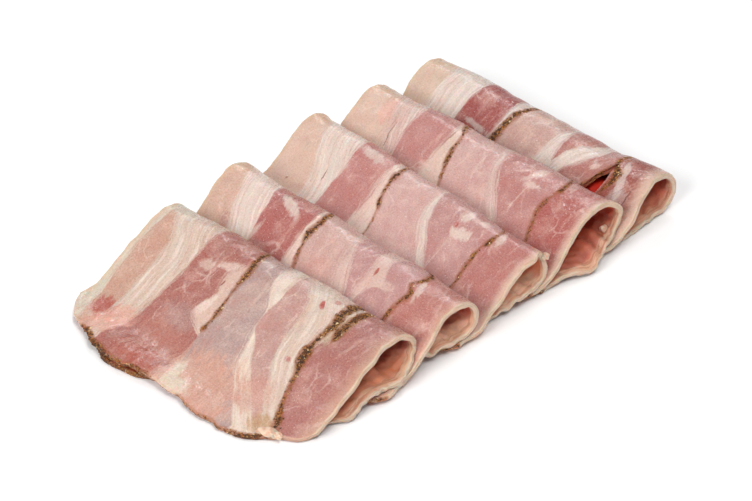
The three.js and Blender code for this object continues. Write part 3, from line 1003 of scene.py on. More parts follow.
# %% [markdown]
# ## The meat as a material
#
# Cured raw belly is moist and slightly see-through: light goes in, scatters a few millimetres
# through fat and lean, and comes out reddened, so a thin slice glows where it is lit from the
# far side. The Principled shader does that with subsurface scattering. Water has an IOR of
# 1.33 and fat about 1.46, so 1.42 suits the wet surface.
#
# The borders of the bands are made ragged in two ways. Noise pushes the coordinates about, and
# a second noise, drawn out along each border, lets fibres of one band run into the next.


# %% Helpers for the meat
def sized(place, size, detail, rough):
    """Inputs of a noise whose humps are about one size across, in the unit of the place."""
    return {"Vector": place, "Scale": 1 / size, "Detail": detail, "Roughness": rough}


def wander(tree, start, wave, reach, detail=2):
    """Pushes coordinates about by noise with humps one wave long, up to a reach in mm."""
    push = add(tree, "TexNoise", PLAIN, sized(start, wave, detail, 0.55), out="Color")
    centred = add(tree, "VectorMath", MINUS, push, (0.5, 0.5, 0.5))
    return add(tree, "VectorMath", TIMES_PLUS, centred, (2 * reach, 2 * reach, 0), start)


def strands(tree, across, along, seed, size, drawn, detail=3):
    """Noise drawn out along the fibres of a band: size across them, drawn times as long."""
    run = add(tree, "Math", TIMES, along, 1 / drawn)
    place = add(tree, "CombineXYZ", PLAIN, across, run, float(seed))
    return add(tree, "TexNoise", PLAIN, sized(place, size, detail, 0.6))


def coat(tree, under, mask, over, strength=None):
    """Paints a colour over another where a mask is, as strong as a hint or as full cover."""
    if strength is not None:
        mask = add(tree, "Math", TIMES, mask, strength)
    over = linear(over) if isinstance(over, str) else over
    return add(tree, "Mix", {"data_type": "RGBA"}, {0: mask, 6: under, 7: over}, out=2)


def within(tree, value, low, high, mask):
    """How far a value has come from low to high, from 0 to 1, times a mask."""
    share = add(tree, "MapRange", PLAIN, value, low, high)
    return add(tree, "Math", TIMES, share, mask)


def from_middle(tree, place, at, half, turn=0):
    """How far a place lies from the middle of an ellipse, where 1 is its border."""
    half = (*half, 1000)  # so long in depth that only the two flat directions count
    spot = add(tree, "Mapping", {"vector_type": "TEXTURE"}, place, at, (0, 0, turn), half)
    return add(tree, "VectorMath", LENGTH, spot, out="Value")


print("noise with humps of 2.6 mm has a scale of", round(sized(None, 2.6, 2, 0.5)["Scale"], 3))

# %% [markdown]
# ## Bands and blots on the slice
#
# Each band is painted from its line on, and each blot inside its ellipse. Every one leaves three
# things behind: the colour, how fat the place is, and the distance across the fibres, which the
# fibres and strands are drawn by.

# %% Bands and blots
DEPTH_STEP = 40  # the slices read the noise this far apart, in mm, so that none looks the same
FRAY_WIDTH, FRAY_DRAWN, FRAY_REACH = 1.1, 14, 5  # bundles of fibres at a band's border
BLOT_WIDTH, BLOT_DRAWN, BLOT_REACH = 1.6, 4, 1.6
BLOT_BORDER = (1.25, 0.6)  # where a blot starts and where it has its full strength


def marbled(tree, name, ragged):
    """Colour, fatness, distance across the fibres and flat place of one slice."""
    seed = SLICES[name]["seed"]
    s = add(tree, "SeparateXYZ", PLAIN, ragged)
    t = s.node.outputs[1]
    first, fat, _ = BANDS[name][0]
    colour, across = linear(tone(name, first)), s
    for number, (code, fatness, places) in enumerate(BANDS[name][1:]):
        past = add(tree, "Math", MINUS, s, draw_line(tree, t, places))
        fibres = strands(tree, past, t, 10 * seed + number, FRAY_WIDTH, FRAY_DRAWN)
        soft = SOFTNESS.get(code, OTHER_SOFTNESS)
        fray = add(tree, "Math", MINUS, fibres, 0.5)
        frayed = add(tree, "Math", TIMES_PLUS, fray, FRAY_REACH * soft, past)
        mask = add(tree, "MapRange", SMOOTH, frayed, -soft, soft)
        colour = coat(tree, colour, mask, tone(name, code))
        fat = add(tree, "Mix", PLAIN, mask, None, fat, fatness)
        sharp = add(tree, "MapRange", PLAIN, mask, 0.49, 0.51)  # one side or the other
        across = add(tree, "Mix", PLAIN, sharp, None, across, past)
    for code, fatness, at_s, at_t, half_s, half_t, turn, strength in BLOTS[name]:
        middle = (at_s, at_t, DEPTH_STEP * seed)
        off = from_middle(tree, ragged, middle, (half_s, half_t), math.radians(turn))
        broken = strands(tree, across, t, 10 * seed + 9, BLOT_WIDTH, BLOT_DRAWN)
        fray = add(tree, "Math", MINUS, broken, 0.5)
        reach = add(tree, "Math", TIMES_PLUS, fray, BLOT_REACH, off)
        mask = add(tree, "MapRange", SMOOTH, reach, *BLOT_BORDER, 0, strength)
        colour = coat(tree, colour, mask, tone(name, code))
        fat = add(tree, "Mix", PLAIN, mask, None, fat, fatness)
    return colour, fat, across, s, t


print("a border of lean frays by up to", FRAY_REACH * SOFTNESS["lean"] / 2, "mm")

# %% [markdown]
# ## Growth of fat and lean
#
# Fat is bright strands with translucent pink between them and a few dark gaps. Lean has clouds
# of deeper and paler meat, pale wisps along it, and threads of white tissue. Grain lies over
# both, with pale specks that also paint the sparkle of the wet grain, and painted glints. Real muscle
# fibres are 0.05 to 0.1 mm thick, too fine to show, so strands are drawn at 1.1 mm, grain at 0.7 mm and
# painted glints at 0.5 mm, which is as fine as the render holds.
#
# Most values of a noise lie between 0.3 and 0.7. So a mark that starts near 0.5 covers about half
# of the meat, and one that starts near 0.7 only a few places.

# %% Fibre, cloud and thread
# Each mark: its colour and how strong it is.
BETWEEN_STRANDS, BRIGHT_STRANDS, DARK_GAPS = ("#cf9f90", 0.34), ("#fbf1e8", 0.32), ("#9c7461", 0.5)
DEEP_CLOUDS, PALE_CLOUDS, WISPS = ("#b46a60", 0.22), ("#e3c0b2", 0.26), ("#e8cabc", 0.42)
# The pale specks also paint the sparkle of the wet grain.
THREADS, SPECKS_AND_SPARKLE = ("#f2dfd3", 0.32), ("#f4e6dc", 0.14)
# Painted glints of the wet surface: their colour and how strong they are.
PAINTED_GLINT, PAINTED_GLINT_STRENGTH = "#fdf3ec", 0.45
# Sizes in mm, and how many times as long the drawn-out ones are.
BROAD, BROAD_DRAWN = 2.6, 16
FINE, FINE_DRAWN = 1.1, 18
WISP, WISP_DRAWN = 3.2, 5
# POINT is the size of the painted glints.
CLOUD, PATCH, GRAIN, POINT, SWELL = 8, 11, 0.7, 0.5, 1.3
THREAD_MESH = (0.12, 0.075, 0.1)  # meshes of the web of threads per mm, in each direction
# Heights in mm.
SWELL_HEIGHT, GRAIN_HEIGHT, STRAND_HEIGHT, CLOUD_HEIGHT = 0.16, 0.07, 0.2, 0.6


def grown_fat(tree, colour, fat, broad, fine):
    """Adds strands, the pink between them and dark gaps to the fat."""
    thick = add(tree, "Math", TIMES, fat, fat)
    pink = within(tree, broad, 0.6, 0.38, thick)
    colour = coat(tree, colour, pink, *BETWEEN_STRANDS)
    shine = within(tree, fine, 0.48, 0.66, thick)
    colour = coat(tree, colour, shine, *BRIGHT_STRANDS)
    gap = add(tree, "Math", ABSOLUTE, add(tree, "Math", MINUS, fine, 0.44))
    gap = within(tree, gap, 0.018, 0, fat)
    narrow = add(tree, "MapRange", PLAIN, broad, 0.6, 0.42)
    gap = add(tree, "Math", TIMES, gap, narrow)
    return coat(tree, colour, gap, *DARK_GAPS)


def grown_lean(tree, seed, colour, lean, cloud, across, along, own):
    """Adds clouds, wisps and threads to the lean."""
    deep = within(tree, cloud, 0.5, 0.34, lean)
    colour = coat(tree, colour, deep, *DEEP_CLOUDS)
    light = within(tree, cloud, 0.5, 0.68, lean)
    colour = coat(tree, colour, light, *PALE_CLOUDS)
    wisp = strands(tree, across, along, seed + 3, WISP, WISP_DRAWN, 5)
    wisp = within(tree, wisp, 0.56, 0.74, lean)
    colour = coat(tree, colour, wisp, *WISPS)
    bent = wander(tree, own, 5, 2.4, 3)
    cells = add(tree, "Mapping", PLAIN, bent, None, (0, 0, 0.5), THREAD_MESH)
    edges = {"feature": "DISTANCE_TO_EDGE"}
    web = add(tree, "TexVoronoi", edges, {"Vector": cells, "Scale": 1}, out="Distance")
    patchy = add(tree, "TexNoise", PLAIN, sized(own, PATCH, 2, 0.55))
    patchy = add(tree, "MapRange", PLAIN, patchy, 0.5, 0.64)
    web = within(tree, web, 0.045, 0, patchy)
    return coat(tree, colour, add(tree, "Math", TIMES, web, lean), *THREADS)


def grown(tree, name, colour, fat, across, along, own):
    """Adds the growth of fat and lean to the colour, and gives the colour and a height in mm."""
    seed = SLICES[name]["seed"]
    lean = add(tree, "Math", {**MINUS, "use_clamp": True}, 0.95, fat)
    broad = strands(tree, across, along, seed, BROAD, BROAD_DRAWN)
    fine = strands(tree, across, along, seed + 7, FINE, FINE_DRAWN)
    colour = grown_fat(tree, colour, fat, broad, fine)
    cloud = add(tree, "TexNoise", PLAIN, sized(own, CLOUD, 4, 0.6))
    colour = grown_lean(tree, seed, colour, lean, cloud, across, along, own)
    # Grain: pale specks of fat, which also paint the sparkle of the wet grain.
    grain = add(tree, "TexNoise", PLAIN, sized(own, GRAIN, 2, 0.6))
    speck_and_sparkle = add(tree, "MapRange", PLAIN, grain, 0.56, 0.7)
    speck_and_sparkle = add(tree, "Math", TIMES, speck_and_sparkle, add(tree, "MapRange", PLAIN, cloud, 0.3, 0.7))
    colour = coat(tree, colour, speck_and_sparkle, *SPECKS_AND_SPARKLE)
    # Painted glints: tiny pale points painted into the colour where the wet tops of the grain would
    # shine.
    points = add(tree, "TexNoise", PLAIN, sized(own, POINT, 1, 0.5))
    points = add(tree, "MapRange", PLAIN, points, 0.69, 0.75, 0, PAINTED_GLINT_STRENGTH)
    colour = coat(tree, colour, points, PAINTED_GLINT)
    shade = add(tree, "MapRange", PLAIN, grain, 0.3, 0.6, 0.955, 1.015)
    colour = add(tree, "VectorMath", SCALED, {0: colour, "Scale": shade})
    swell = add(tree, "TexNoise", PLAIN, sized(own, SWELL, 1, 0.5))
    height = add(tree, "Math", TIMES, swell, SWELL_HEIGHT)
    height = add(tree, "Math", TIMES_PLUS, grain, GRAIN_HEIGHT, height)
    strand = add(tree, "Math", TIMES, fine, fat)
    height = add(tree, "Math", TIMES_PLUS, strand, STRAND_HEIGHT, height)
    height = add(tree, "Math", TIMES_PLUS, cloud, CLOUD_HEIGHT, height)
    return colour, height, grain


print("relief of the meat is up to", round(SWELL_HEIGHT + GRAIN_HEIGHT + STRAND_HEIGHT
                                           + CLOUD_HEIGHT, 2), "mm deep")

# %% [markdown]
# ## The inside of a fold
#
# Inside a fold the light has come through the meat and the roof lies in shade, so the inner face is
# painted with that shade and light: a deep red terracotta, darker the farther in. The cut has
# dried in layers, so the last millimetres of the inner face are banded.

# %% Painted shade and through-light inside a fold
# Painted shade and through-light on the inner face of the loop: colours of its roof and its floor.
LOOP_SHADE_AND_THROUGH_LIGHT = {"slice_1": ("#921206", "#d8875f"), "slice_2": ("#b8482a", "#f1bf9f"),
           "slice_3": ("#dc8a60", "#f5caaa"), "slice_4": ("#b83e1c", "#b8664a"),
           "slice_5": ("#8e0e02", "#dc8a6a")}
# Painted glow where light comes through a split: distance from the left end, arc length and two half
# sizes.
GLOWS = {"slice_5": (99, -38, 15, 13)}
GLOW_RED = "#d62a14"
DRIED_LIGHT, DRIED_DARK = "#d6b599", "#b07f62"
INNER_CLOUD = 4  # size in mm of the cloudy patches on the floor of a loop
DRIED_LAYER, DRIED_DRAWN = 0.9, 12  # thickness in mm of the dried layers, and how drawn out


def inner_face(tree, name, colour, inside, right, t, own):
    """Paints shade and through-light on the roof and the floor of a loop, darker farther in from the
    right end.
    """
    roof, bottom_code = LOOP_SHADE_AND_THROUGH_LIGHT[name]
    cloudy = add(tree, "TexNoise", PLAIN, sized(own, INNER_CLOUD, 3, 0.6))
    # Painted shade: the roof of the loop is painted deep red, darker farther in from the right end.
    far = add(tree, "MapRange", SMOOTH, right, 2, 12)
    shaded_roof = add(tree, "MapRange", SMOOTH, t, -24, -12)
    shaded_roof = add(tree, "Math", TIMES, inside, shaded_roof)
    deep = add(tree, "Math", TIMES_PLUS, far, 0.2, 0.79)
    colour = coat(tree, colour, shaded_roof, roof, deep)
    # Painted through-light: the floor is painted the warm colour of light that came through the meat.
    bottom = add(tree, "MapRange", SMOOTH, t, -12, -24)
    bottom = add(tree, "Math", TIMES, inside, bottom)
    deep = add(tree, "MapRange", PLAIN, cloudy, 0.35, 0.65, 0.6, 0.95)
    colour = coat(tree, colour, bottom, bottom_code, deep)
    # Painted shade: farther in, the floor darkens towards the roof's deep red.
    farther = add(tree, "MapRange", SMOOTH, right, 5, 17, 0, 0.85)
    colour = coat(tree, colour, add(tree, "Math", TIMES, bottom, farther), roof)
    # Painted glow where light comes through the split.
    if name in GLOWS:
        at_s, at_t, *half = GLOWS[name]
        off = from_middle(tree, own, (at_s, at_t, DEPTH_STEP * SLICES[name]["seed"]), half)
        glow = within(tree, off, 1, 0.5, inside)
        colour = coat(tree, colour, glow, GLOW_RED)
    seed = SLICES[name]["seed"] + 50
    bands = strands(tree, right, t, seed, DRIED_LAYER, DRIED_DRAWN)
    bands = add(tree, "MapRange", PLAIN, bands, 0.42, 0.6)
    dried = coat(tree, linear(DRIED_LIGHT), bands, DRIED_DARK)
    wide = add(tree, "MapRange", PLAIN, t, -22, -10, 4.6, 2.8)
    near = add(tree, "Math", DIVIDED, right, wide)
    near = add(tree, "MapRange", SMOOTH, near, 1, 0.5, 0, 0.75)
    return coat(tree, colour, inside, dried, near)


print("the roof of slice_1 is", LOOP_SHADE_AND_THROUGH_LIGHT["slice_1"][0])

# %% [markdown]
# ## The ends of a slice
#
# Towards the right end the meat is paler, and the cut there is a rim of fat in thin layers. The
# left end and the front edge have dried to a pale tan.

# %% Ends of a slice
LEFT_TAN, FRONT_TAN = ("#cdb498", 0.7), ("#bfa892", 0.6)
RIM_THIN, RIM_DRAWN = 0.5, 14  # thickness in mm of the layers in the rim of fat


def edged(tree, name, colour, inside, ends, side, t, rim):
    """Paints the pale end of the meat, the rim of fat and the dried edges."""
    left, right, front = ends
    wide, most, code = PALE_ENDS[name]
    pale = add(tree, "MapRange", SMOOTH, right, wide, 0.5, 0, most)
    outside = add(tree, "Math", MINUS, 1, inside)
    colour = coat(tree, colour, add(tree, "Math", TIMES, pale, outside), code)
    from_end = add(tree, "SeparateXYZ", PLAIN, wander(tree, rim, 3, 0.12), out=1)
    layers = strands(tree, side, t, SLICES[name]["seed"] + 30, RIM_THIN, RIM_DRAWN)
    layers = add(tree, "MapRange", PLAIN, layers, 0.52, 0.4, 0, 0.45)
    fatty = coat(tree, linear(RIM_FAT), layers, RIM_LAYER)
    cut = add(tree, "MapRange", SMOOTH, from_end, 1.3, 0.4)
    colour = coat(tree, colour, cut, fatty)
    dry = add(tree, "MapRange", SMOOTH, left, 3, 0.2, 0, LEFT_TAN[1])
    colour = coat(tree, colour, dry, LEFT_TAN[0])
    dry = add(tree, "MapRange", SMOOTH, front, 0.9, 0.2, 0, FRONT_TAN[1])
    return coat(tree, colour, dry, FRONT_TAN[0])


print("the rim of fat is", RIM_FAT)

# %% [markdown]
# ## Spice on the meat
#
# A seam shows as a faint stain, then a brown line, then crumbs that lie close in the middle.
# Crushed pepper shells are nearly black outside and ochre within. Ground pepper is 0.3 to 1.2 mm
# across, so its flecks are drawn at 0.85 mm, and clumps of it at 2 mm.

# %% Spice
SPICE_RAMP = [(0.38, "#2b1706"), (0.45, "#64340c"), (0.51, "#955a1f"), (0.57, "#b17834"),
              (0.65, "#cb9c5c"), (0.75, "#ecd3a8")]
STAIN, STAIN_STRENGTH = "#9c5a38", 0.65
FLECK, CLUMP, FLECK_HEIGHT = 0.85, 2, 0.9


def spice_colour(tree, value, stops):
    """The colours of crushed spice from dark shell to pale kernel, as a value rises."""
    ramp = add(tree, "ValToRGB", PLAIN, value)
    elements = ramp.node.color_ramp.elements
    while len(elements) < len(stops):
        elements.new(0.5)
    for element, (place, code) in zip(elements, stops):
        element.position, element.color = place, linear(code)
    return ramp


def spice_depth(tree, name, s, t, rim):
    """How deep a place lies in a seam or the crust, in mm, less than 0 outside them."""
    reach = add(tree, "SeparateXYZ", PLAIN, wander(tree, rim, 1.6, 0.8), out=2)
    crust = draw_line(tree, s, CRUSTS[name], (0, S_SPAN))
    depth = add(tree, "Math", MINUS, crust, reach)
    for seam in SEAMS[name]:
        line = draw_line(tree, t, [(t_at, s_at) for t_at, s_at, _ in seam])
        half = draw_line(tree, t, [(t_at, half) for t_at, _, half in seam])
        off = add(tree, "Math", ABSOLUTE, add(tree, "Math", MINUS, s, line))
        depth = add(tree, "Math", LARGER, depth, add(tree, "Math", MINUS, half, off))
    return depth


def spiced(tree, name, colour, height, s, t, rim, own):
    """Paints seams and crust. Gives the colour, the height and where spice covers the meat."""
    flecks = add(tree, "TexNoise", PLAIN, sized(own, FLECK, 3, 0.75))
    depth = spice_depth(tree, name, s, t, rim)
    darker = add(tree, "MapRange", PLAIN, depth, 0.2, 1.8, 0, 0.11)
    crushed = spice_colour(tree, add(tree, "Math", MINUS, flecks, darker), SPICE_RAMP)
    stain = add(tree, "MapRange", SMOOTH, depth, -1.1, 0.3, 0, STAIN_STRENGTH)
    colour = coat(tree, colour, stain, STAIN)
    loose = add(tree, "TexNoise", PLAIN, sized(own, CLUMP, 4, 0.7))
    loose = add(tree, "MapRange", PLAIN, loose, 0.3, 0.7, -1.9, 0.9)
    spice = add(tree, "Math", PLUS, depth, loose)
    spice = add(tree, "MapRange", SMOOTH, spice, -0.35, 0.35, 0, 0.92)
    colour = coat(tree, colour, spice, crushed)
    lumps = add(tree, "Math", TIMES, flecks, spice)
    return colour, add(tree, "Math", TIMES_PLUS, lumps, FLECK_HEIGHT, height), spice


print("flecks of spice stand up to", FLECK_HEIGHT, "mm high")

# %% [markdown]
# ## Moist cured belly
#
# All marks come together in one material for each slice. Wet meat is glossy, with a roughness
# of about 0.2 to 0.4, and the dry spice on it is dull. Red light scatters farthest in meat,
# about three times as far as green and five times as far as blue.

# %% Belly material
WET_ROUGHNESS, SPICE_ROUGHNESS, INNER_ROUGHNESS = (0.22, 0.4), 0.8, 0.6
OUTER_SCATTER, INNER_SCATTER = 3 * MM, 5 * MM


def meat_material(name):
    """Moist cured belly for one slice."""
    seed = SLICES[name]["seed"]
    material, tree = blank_material("cured_pork_belly_" + str(seed))
    flat = add(tree, "Attribute", {"attribute_name": "flat"}, out="Vector")
    rim = add(tree, "Attribute", {"attribute_name": "rim"}, out="Vector")
    side = add(tree, "SeparateXYZ", PLAIN, flat, out=2)
    own = add(tree, "VectorMath", PLUS, flat, (0, 0, DEPTH_STEP * seed))
    ragged = wander(tree, wander(tree, own, 11, 0.9), 2.4, 0.5, 3)
    colour, fat, across, s, t = marbled(tree, name, ragged)
    colour, height, grain = grown(tree, name, colour, fat, across, t, own)
    ends = add(tree, "SeparateXYZ", PLAIN, wander(tree, rim, 4, 0.9)).node.outputs
    inside = add(tree, "MapRange", PLAIN, side, 0.4, -0.4)
    colour = inner_face(tree, name, colour, inside, ends[1], t, own)
    colour = edged(tree, name, colour, inside, ends, side, t, rim)
    colour, height, spice = spiced(tree, name, colour, height, s, t, rim, own)
    bump = add(tree, "Bump", PLAIN, {"Strength": 1, "Distance": MM, "Height": height})
    gloss = add(tree, "MapRange", PLAIN, grain, 0.35, 0.65, *WET_ROUGHNESS)
    gloss = add(tree, "Mix", PLAIN, spice, None, gloss, SPICE_ROUGHNESS)
    gloss = add(tree, "Mix", PLAIN, inside, None, gloss, INNER_ROUGHNESS)
    scatter = add(tree, "Mix", PLAIN, inside, None, OUTER_SCATTER, INNER_SCATTER)
    shader = add(tree, "BsdfPrincipled", PLAIN, {
        "Base Color": colour, "Roughness": gloss, "Normal": bump, "IOR": 1.42,
        "Subsurface Weight": 0.7, "Subsurface Radius": (1.0, 0.36, 0.2),
        "Subsurface Scale": scatter})
    add(tree, "OutputMaterial", PLAIN, shader)
    return material


for name, meat in meats.items():
    meat.data.materials.append(meat_material(name))
    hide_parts(name)
    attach(meat, "root")
    print(name, len(meat.data.materials[0].node_tree.nodes), "nodes")

# %% [markdown]
# ## Where crumbs of pepper and herbs lie
#
# Crushed pepper lies on the seams and on the crust as loose angular crumbs, 0.3 to 1.2 mm
# across. They are real grains of mesh, so that they catch the light and show at the edges. A
# place is drawn at random from the faces of a slice, more often the deeper it lies in a seam.

# %% Where crumbs lie
STRAY = 0.7  # crumbs stray this far out of a seam
FULL_DEPTH = 1.5  # from its outermost crumbs to where they lie closest
RIM_CHANCE, RIM_WIDTH, RIM_FROM = 0.03, 0.8, 60  # a few crumbs stick to the rim of fat
NOWHERE = -9  # a depth that is far outside every seam


def face_data(name):
    """Centre, normal, area, flat place and rim distances of each face, in mm."""
    mesh = meats[name].data
    count = len(mesh.polygons)
    found = {}
    for key, size in (("center", 3), ("normal", 3), ("area", 1)):
        values = np.empty(count * size)
        mesh.polygons.foreach_get(key, values)
        found[key] = values.reshape(count, size)
    starts = np.empty(count, int)
    mesh.polygons.foreach_get("loop_start", starts)
    corners = np.empty(len(mesh.loops), int)
    mesh.loops.foreach_get("vertex_index", corners)
    for label in ("flat", "rim"):
        values = np.empty(len(mesh.vertices) * 3)
        mesh.attributes[label].data.foreach_get("vector", values)
        found[label] = values.reshape(-1, 3)[corners[starts]]
    return found


def crumb_places(name, rng, density):
    """Places, normals and depths of the crumbs on one slice."""
    faces = face_data(name)
    s, t, _ = faces["flat"].T
    _, right, front = faces["rim"].T
    depth = np.interp(s, *np.transpose(CRUSTS[name])) - front
    for seam in SEAMS[name]:
        t_at, s_at, half = np.transpose(seam)
        inside = (t > t_at[0]) & (t < t_at[-1])
        gap = np.interp(t, t_at, half) - abs(s - np.interp(t, t_at, s_at))
        depth = np.maximum(depth, np.where(inside, gap, NOWHERE))
    chance = np.clip((depth + STRAY) / FULL_DEPTH, 0, 1) * (depth > -STRAY)
    chance = np.maximum(chance, RIM_CHANCE * ((right < RIM_WIDTH) & (s > RIM_FROM)))
    chance = chance * faces["area"][:, 0] / MM ** 2
    number = int(chance.sum() * density)
    picked = rng.choice(len(s), number, p=chance / chance.sum())
    return faces["center"][picked], faces["normal"][picked], depth[picked]


print("slice_1 has", len(face_data("slice_1")["area"]), "faces for crumbs to lie on")

# %% [markdown]
# ## Shape of the crumbs
#
# Each crumb is a rough lump half sunk into the meat: a ball of 20 faces, dented, stretched and
# turned at random. So small a thing needs no more faces.

# %% Rough lumps
DENTS = (0.65, 1.25)  # how far each corner of a lump is pushed in or pulled out
STRETCHES = (0.55, 1.25)  # how much a lump is stretched along each of its axes
FLATTENED, RAISED = 0.35, 0.1  # shares of its height and of its size


def ball(subdivisions):
    """Points and triangles of a ball of radius 1."""
    shape = bmesh.new()
    bmesh.ops.create_icosphere(shape, subdivisions=subdivisions, radius=1)
    corners = np.array([v.co[:] for v in shape.verts])
    sides = np.array([[v.index for v in f.verts] for f in shape.faces])
    shape.free()
    return corners, sides


def rough_lumps(centres, normals, sizes, rng):
    """Points and faces of many rough lumps, each a dented ball of 20 faces."""
    corners, sides = ball(1)
    count = len(centres)
    dented = corners[None] * rng.uniform(*DENTS, (count, len(corners), 1))
    dented = dented * rng.uniform(*STRETCHES, (count, 1, 3))
    turns, _ = np.linalg.qr(rng.normal(size=(count, 3, 3)))
    dented = np.einsum("nij,nkj->nki", turns, dented) * sizes[:, None, None]
    # Flattened on the meat, and raised a little, so that about half of it stands out.
    rise = (dented * normals[:, None]).sum(-1, keepdims=True)
    dented = dented - FLATTENED * rise * normals[:, None]
    dented = dented + RAISED * (sizes[:, None] * normals)[:, None]
    points = (centres[:, None] + dented).reshape(-1, 3)
    points[:, 2] = np.maximum(points[:, 2], 0)
    faces = (sides[None] + len(corners) * np.arange(count)[:, None, None]).reshape(-1, 3)
    return points, faces


print("a crumb has", len(ball(1)[1]), "faces")

# %% [markdown]
# ## Crumbs in two kinds
#
# Dark shell and pale kernel with herbs are two joined pieces, as both kinds lie mixed. Dry
# crushed spice is matte, with an IOR of about 1.5, and each crumb has its own shade. A mottle of
# 0.35 mm breaks up the larger crumbs.

# %% Crumbs
MOTTLE, MOTTLE_HEIGHT = 0.35 * MM, 0.1 * MM
SMALLEST = 0.35  # root of the smallest crumb's share of the full size
AT_EDGE, DEEPER = 0.75, 0.2  # share of the size at a seam's edge, and the gain for each mm inward
SIZE_LIMITS = (0.5, 1.2)


def crumb_material(name, codes, roughness):
    """Dry crushed spice: matte, each crumb its own shade."""
    material, tree = blank_material(name)
    shade = add(tree, "Attribute", {"attribute_name": "shade"}, out="Fac")
    place = add(tree, "TexCoord", PLAIN, out="Object")
    fine = add(tree, "TexNoise", PLAIN, {"Vector": place, "Scale": 1 / MOTTLE, "Detail": 2})
    mixed = add(tree, "Math", TIMES_PLUS, fine, 0.3, add(tree, "Math", MINUS, shade, 0.15))
    stops = [(number / (len(codes) - 1), code) for number, code in enumerate(codes)]
    colour = spice_colour(tree, mixed, stops)
    bump = add(tree, "Bump", PLAIN, {"Strength": 0.5, "Distance": MOTTLE_HEIGHT, "Height": fine})
    shader = add(tree, "BsdfPrincipled", PLAIN, {
        "Base Color": colour, "Roughness": roughness, "Normal": bump, "IOR": 1.5})
    add(tree, "OutputMaterial", PLAIN, shader)
    return material


def crumbs(name, seed, density, reach, material):
    """One joined piece of crumbs over all slices."""
    rng = np.random.default_rng(seed)
    places = [crumb_places(slice_name, rng, density) for slice_name in SLICES]
    centres, normals, depths = (np.concatenate(part) for part in zip(*places))
    sizes = rng.uniform(SMALLEST, 1, len(centres)) ** 2 * reach
    sizes = sizes * np.clip(AT_EDGE + DEEPER * depths, *SIZE_LIMITS)
    points, faces = rough_lumps(centres, normals, sizes * MM, rng)
    mesh = bpy.data.meshes.new(name)
    mesh.from_pydata(points.tolist(), [], faces.tolist())
    shades = np.repeat(rng.uniform(0, 1, len(centres)), len(points) // len(centres))
    shade = mesh.attributes.new("shade", "FLOAT", "POINT")
    shade.data.foreach_set("value", shades.astype(np.float32))
    mesh.materials.append(material)
    piece = placed(name, mesh)
    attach(piece, "root")
    print(name, len(centres), "crumbs", len(faces), "faces")


pepper = crumb_material("crushed_pepper_shell", ["#341c08", "#6a3f13", "#9a6628"], 0.7)
kernel = crumb_material("dried_herb_and_kernel", ["#8a5f2c", "#b89056", "#e2cb9f"], 0.75)
crumbs("pepper_crumbs", 7, 0.26, 0.5, pepper)
crumbs("herb_crumbs", 8, 0.3, 0.55, kernel)

# %% [markdown]
# ## Scraps of fat
#
# The blade leaves a few soft scraps: two lie on the front edge, one sits on the rim of the
# third slice, and one has dropped into the fourth loop. Each is a ball pulled out of shape, and
# all are joined into one piece. Fat is translucent and nearly white, with clouds of 2 mm.

# %% Scraps of fat
# Slice, distance from its right edge (mm), arc length, half sizes along X, Y and Z, and turn.
SCRAPS = [("slice_1", 13, 54.5, (3.9, 1.9, 1.5), 0.5), ("slice_1", 9.5, 54, (2.3, 1.4, 1.2), 0.2),
          ("slice_3", 0.6, -9, (1.5, 2, 1.1), 0.4), ("slice_4", 4.5, -24, (1.4, 1.3, 1.3), 0)]
INSIDE_FROM = -15  # from this arc length on, a scrap lies on the inner face
DENT, DENT_WAVE, DENT_SEED = 0.28, 4, 130


def scraps_mesh(name):
    """One joined mesh of the scraps."""
    corners, sides = ball(4)
    points, faces = [], []
    for number, (on, inset, t, half, turn) in enumerate(SCRAPS):
        along = np.array([float(t)])
        x = right_end(on, along) - inset
        side = -1 if t < INSIDE_FROM else 1
        centre = (surface(on, x, along) + side * (SHEET / 2 + GAP) * facing(on, x, along))[0]
        across = 3 * corners[:, 0] + 2 * corners[:, 2]
        dent = 1 + DENT * ripple(across, 3 * corners[:, 1], DENT_WAVE, DENT_SEED + number)
        c, s = math.cos(turn), math.sin(turn)
        lump = corners * dent[:, None] * half @ np.array([[c, s, 0], [-s, c, 0], [0, 0, 1]]) + centre
        lump[:, 2] = np.maximum(lump[:, 2], 0)
        faces.append(sides + number * len(corners))
        points.append(lump * MM)
    mesh = bpy.data.meshes.new(name)
    mesh.from_pydata(np.concatenate(points).tolist(), [], np.concatenate(faces).tolist())
    mesh.shade_smooth()
    return mesh


def fat_material():
    """Soft white fat with faint clouds."""
    material, tree = blank_material("soft_white_fat")
    place = add(tree, "TexCoord", PLAIN, out="Object")
    cloud = add(tree, "TexNoise", PLAIN, sized(place, 2 * MM, 3, 0.55))
    pinker = add(tree, "MapRange", PLAIN, cloud, 0.45, 0.65)
    colour = coat(tree, linear("#d9bfa8"), pinker, "#cf9c84")
    bump = add(tree, "Bump", PLAIN, {"Strength": 0.6, "Distance": 0.3 * MM, "Height": cloud})
    shader = add(tree, "BsdfPrincipled", PLAIN, {
        "Base Color": colour, "Roughness": 0.35, "Normal": bump, "IOR": 1.46,
        "Subsurface Weight": 0.7, "Subsurface Radius": (1.0, 0.5, 0.35),
        "Subsurface Scale": 2 * MM})
    add(tree, "OutputMaterial", PLAIN, shader)
    return material


fat = placed("fat_scraps", scraps_mesh("fat_scraps"))
fat.data.materials.append(fat_material())
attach(fat, "root")
print(fat.name, len(SCRAPS), "scraps", len(fat.data.polygons), "faces")

# %% [markdown]
# ## Table
#
# The slices lie on a plain white surface: one large matte square, a hair below the meat so that
# the two faces don't flicker.

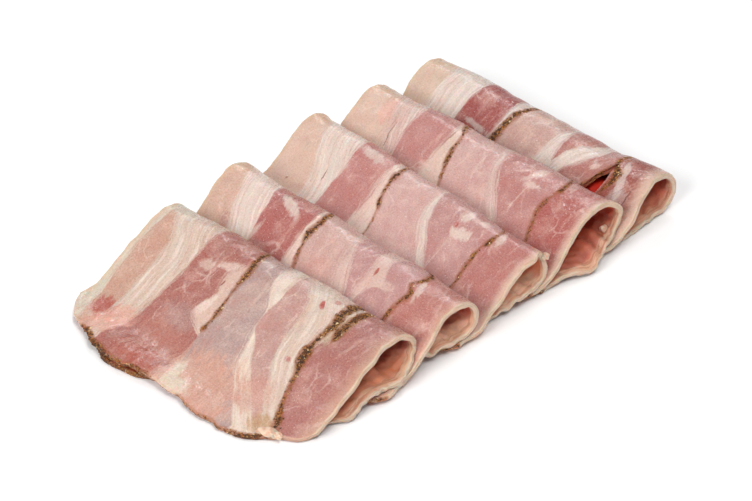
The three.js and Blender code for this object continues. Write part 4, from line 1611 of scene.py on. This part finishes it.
# %% Floor
FLOOR = 3.0  # half the side of the square, in metres
corners = [(-FLOOR, -FLOOR, 0), (FLOOR, -FLOOR, 0), (FLOOR, FLOOR, 0), (-FLOOR, FLOOR, 0)]
floor_mesh = bpy.data.meshes.new("floor")
floor_mesh.from_pydata(corners, [], [(0, 1, 2, 3)])
floor = placed("floor", floor_mesh)
floor.location.z = -0.1 * MM
white = bpy.data.materials.new("matte_white_table")
white.use_nodes = True
white.node_tree.nodes["Principled BSDF"].inputs["Base Color"].default_value = linear("#fbfbfb")
white.node_tree.nodes["Principled BSDF"].inputs["Roughness"].default_value = 0.8
floor_mesh.materials.append(white)
print("floor of", 2 * FLOOR, "m")

# %% [markdown]
# ## Light
#
# A soft lamp stands low in front, so that each fold shades the foot of the one behind it. A
# second one high on the right lights the open ends, a weak one above keeps the shadows pale, and
# a small one at the back draws glints on the wet meat. A dim white room fills in the rest.

# %% Light
# Place and size in metres, and power in watts.
LAMPS = {
    "key": ((0.33, -1.76, 1.2), 0.9, 29),
    "fill": ((1.1, -0.5, 2.0), 0.7, 24),
    "overhead": ((0.1, 0.6, 2.4), 1.2, 10),
    "glint": ((-1.1, 1.3, 1.35), 0.3, 8),
}
for name, (place, size, power) in LAMPS.items():
    light = bpy.data.lights.new(name, "AREA")
    light.size, light.energy = size, power
    lamp = placed(name, light)
    lamp.location = place
    lamp.rotation_euler = (-lamp.location).to_track_quat("-Z", "Y").to_euler()
    print(name, power, "W at", round(lamp.location.length, 2), "m")

world = bpy.data.worlds.new("soft_room")
world.use_nodes = True
world.node_tree.nodes["Background"].inputs["Color"].default_value = (1, 1, 1, 1)
world.node_tree.nodes["Background"].inputs["Strength"].default_value = 0.25
bpy.context.scene.world = world
bpy.context.scene.view_settings.view_transform = "Standard"

# %% [markdown]
# ## Camera
#
# The row is seen from the front right, halfway down from above, from a little over a metre. A
# long lens keeps the far slice nearly as large as the near one.

# %% Camera
AROUND, DOWN, AWAY, LENS = math.radians(45), math.radians(36), 1.3, 162.37
AIM = Vector((-3.94, 7.1, 0)) * MM
camera = placed("camera", bpy.data.cameras.new("camera"))
camera.data.lens = LENS
camera.data.sensor_width = 36
view = Vector((math.sin(AROUND) * math.cos(DOWN), -math.cos(AROUND) * math.cos(DOWN),
               math.sin(DOWN)))
camera.location = AIM + AWAY * view
camera.rotation_euler = (-view).to_track_quat("-Z", "Y").to_euler()
bpy.context.scene.camera = camera
print("camera at", [round(v, 3) for v in camera.location], "with a lens of", LENS, "mm")
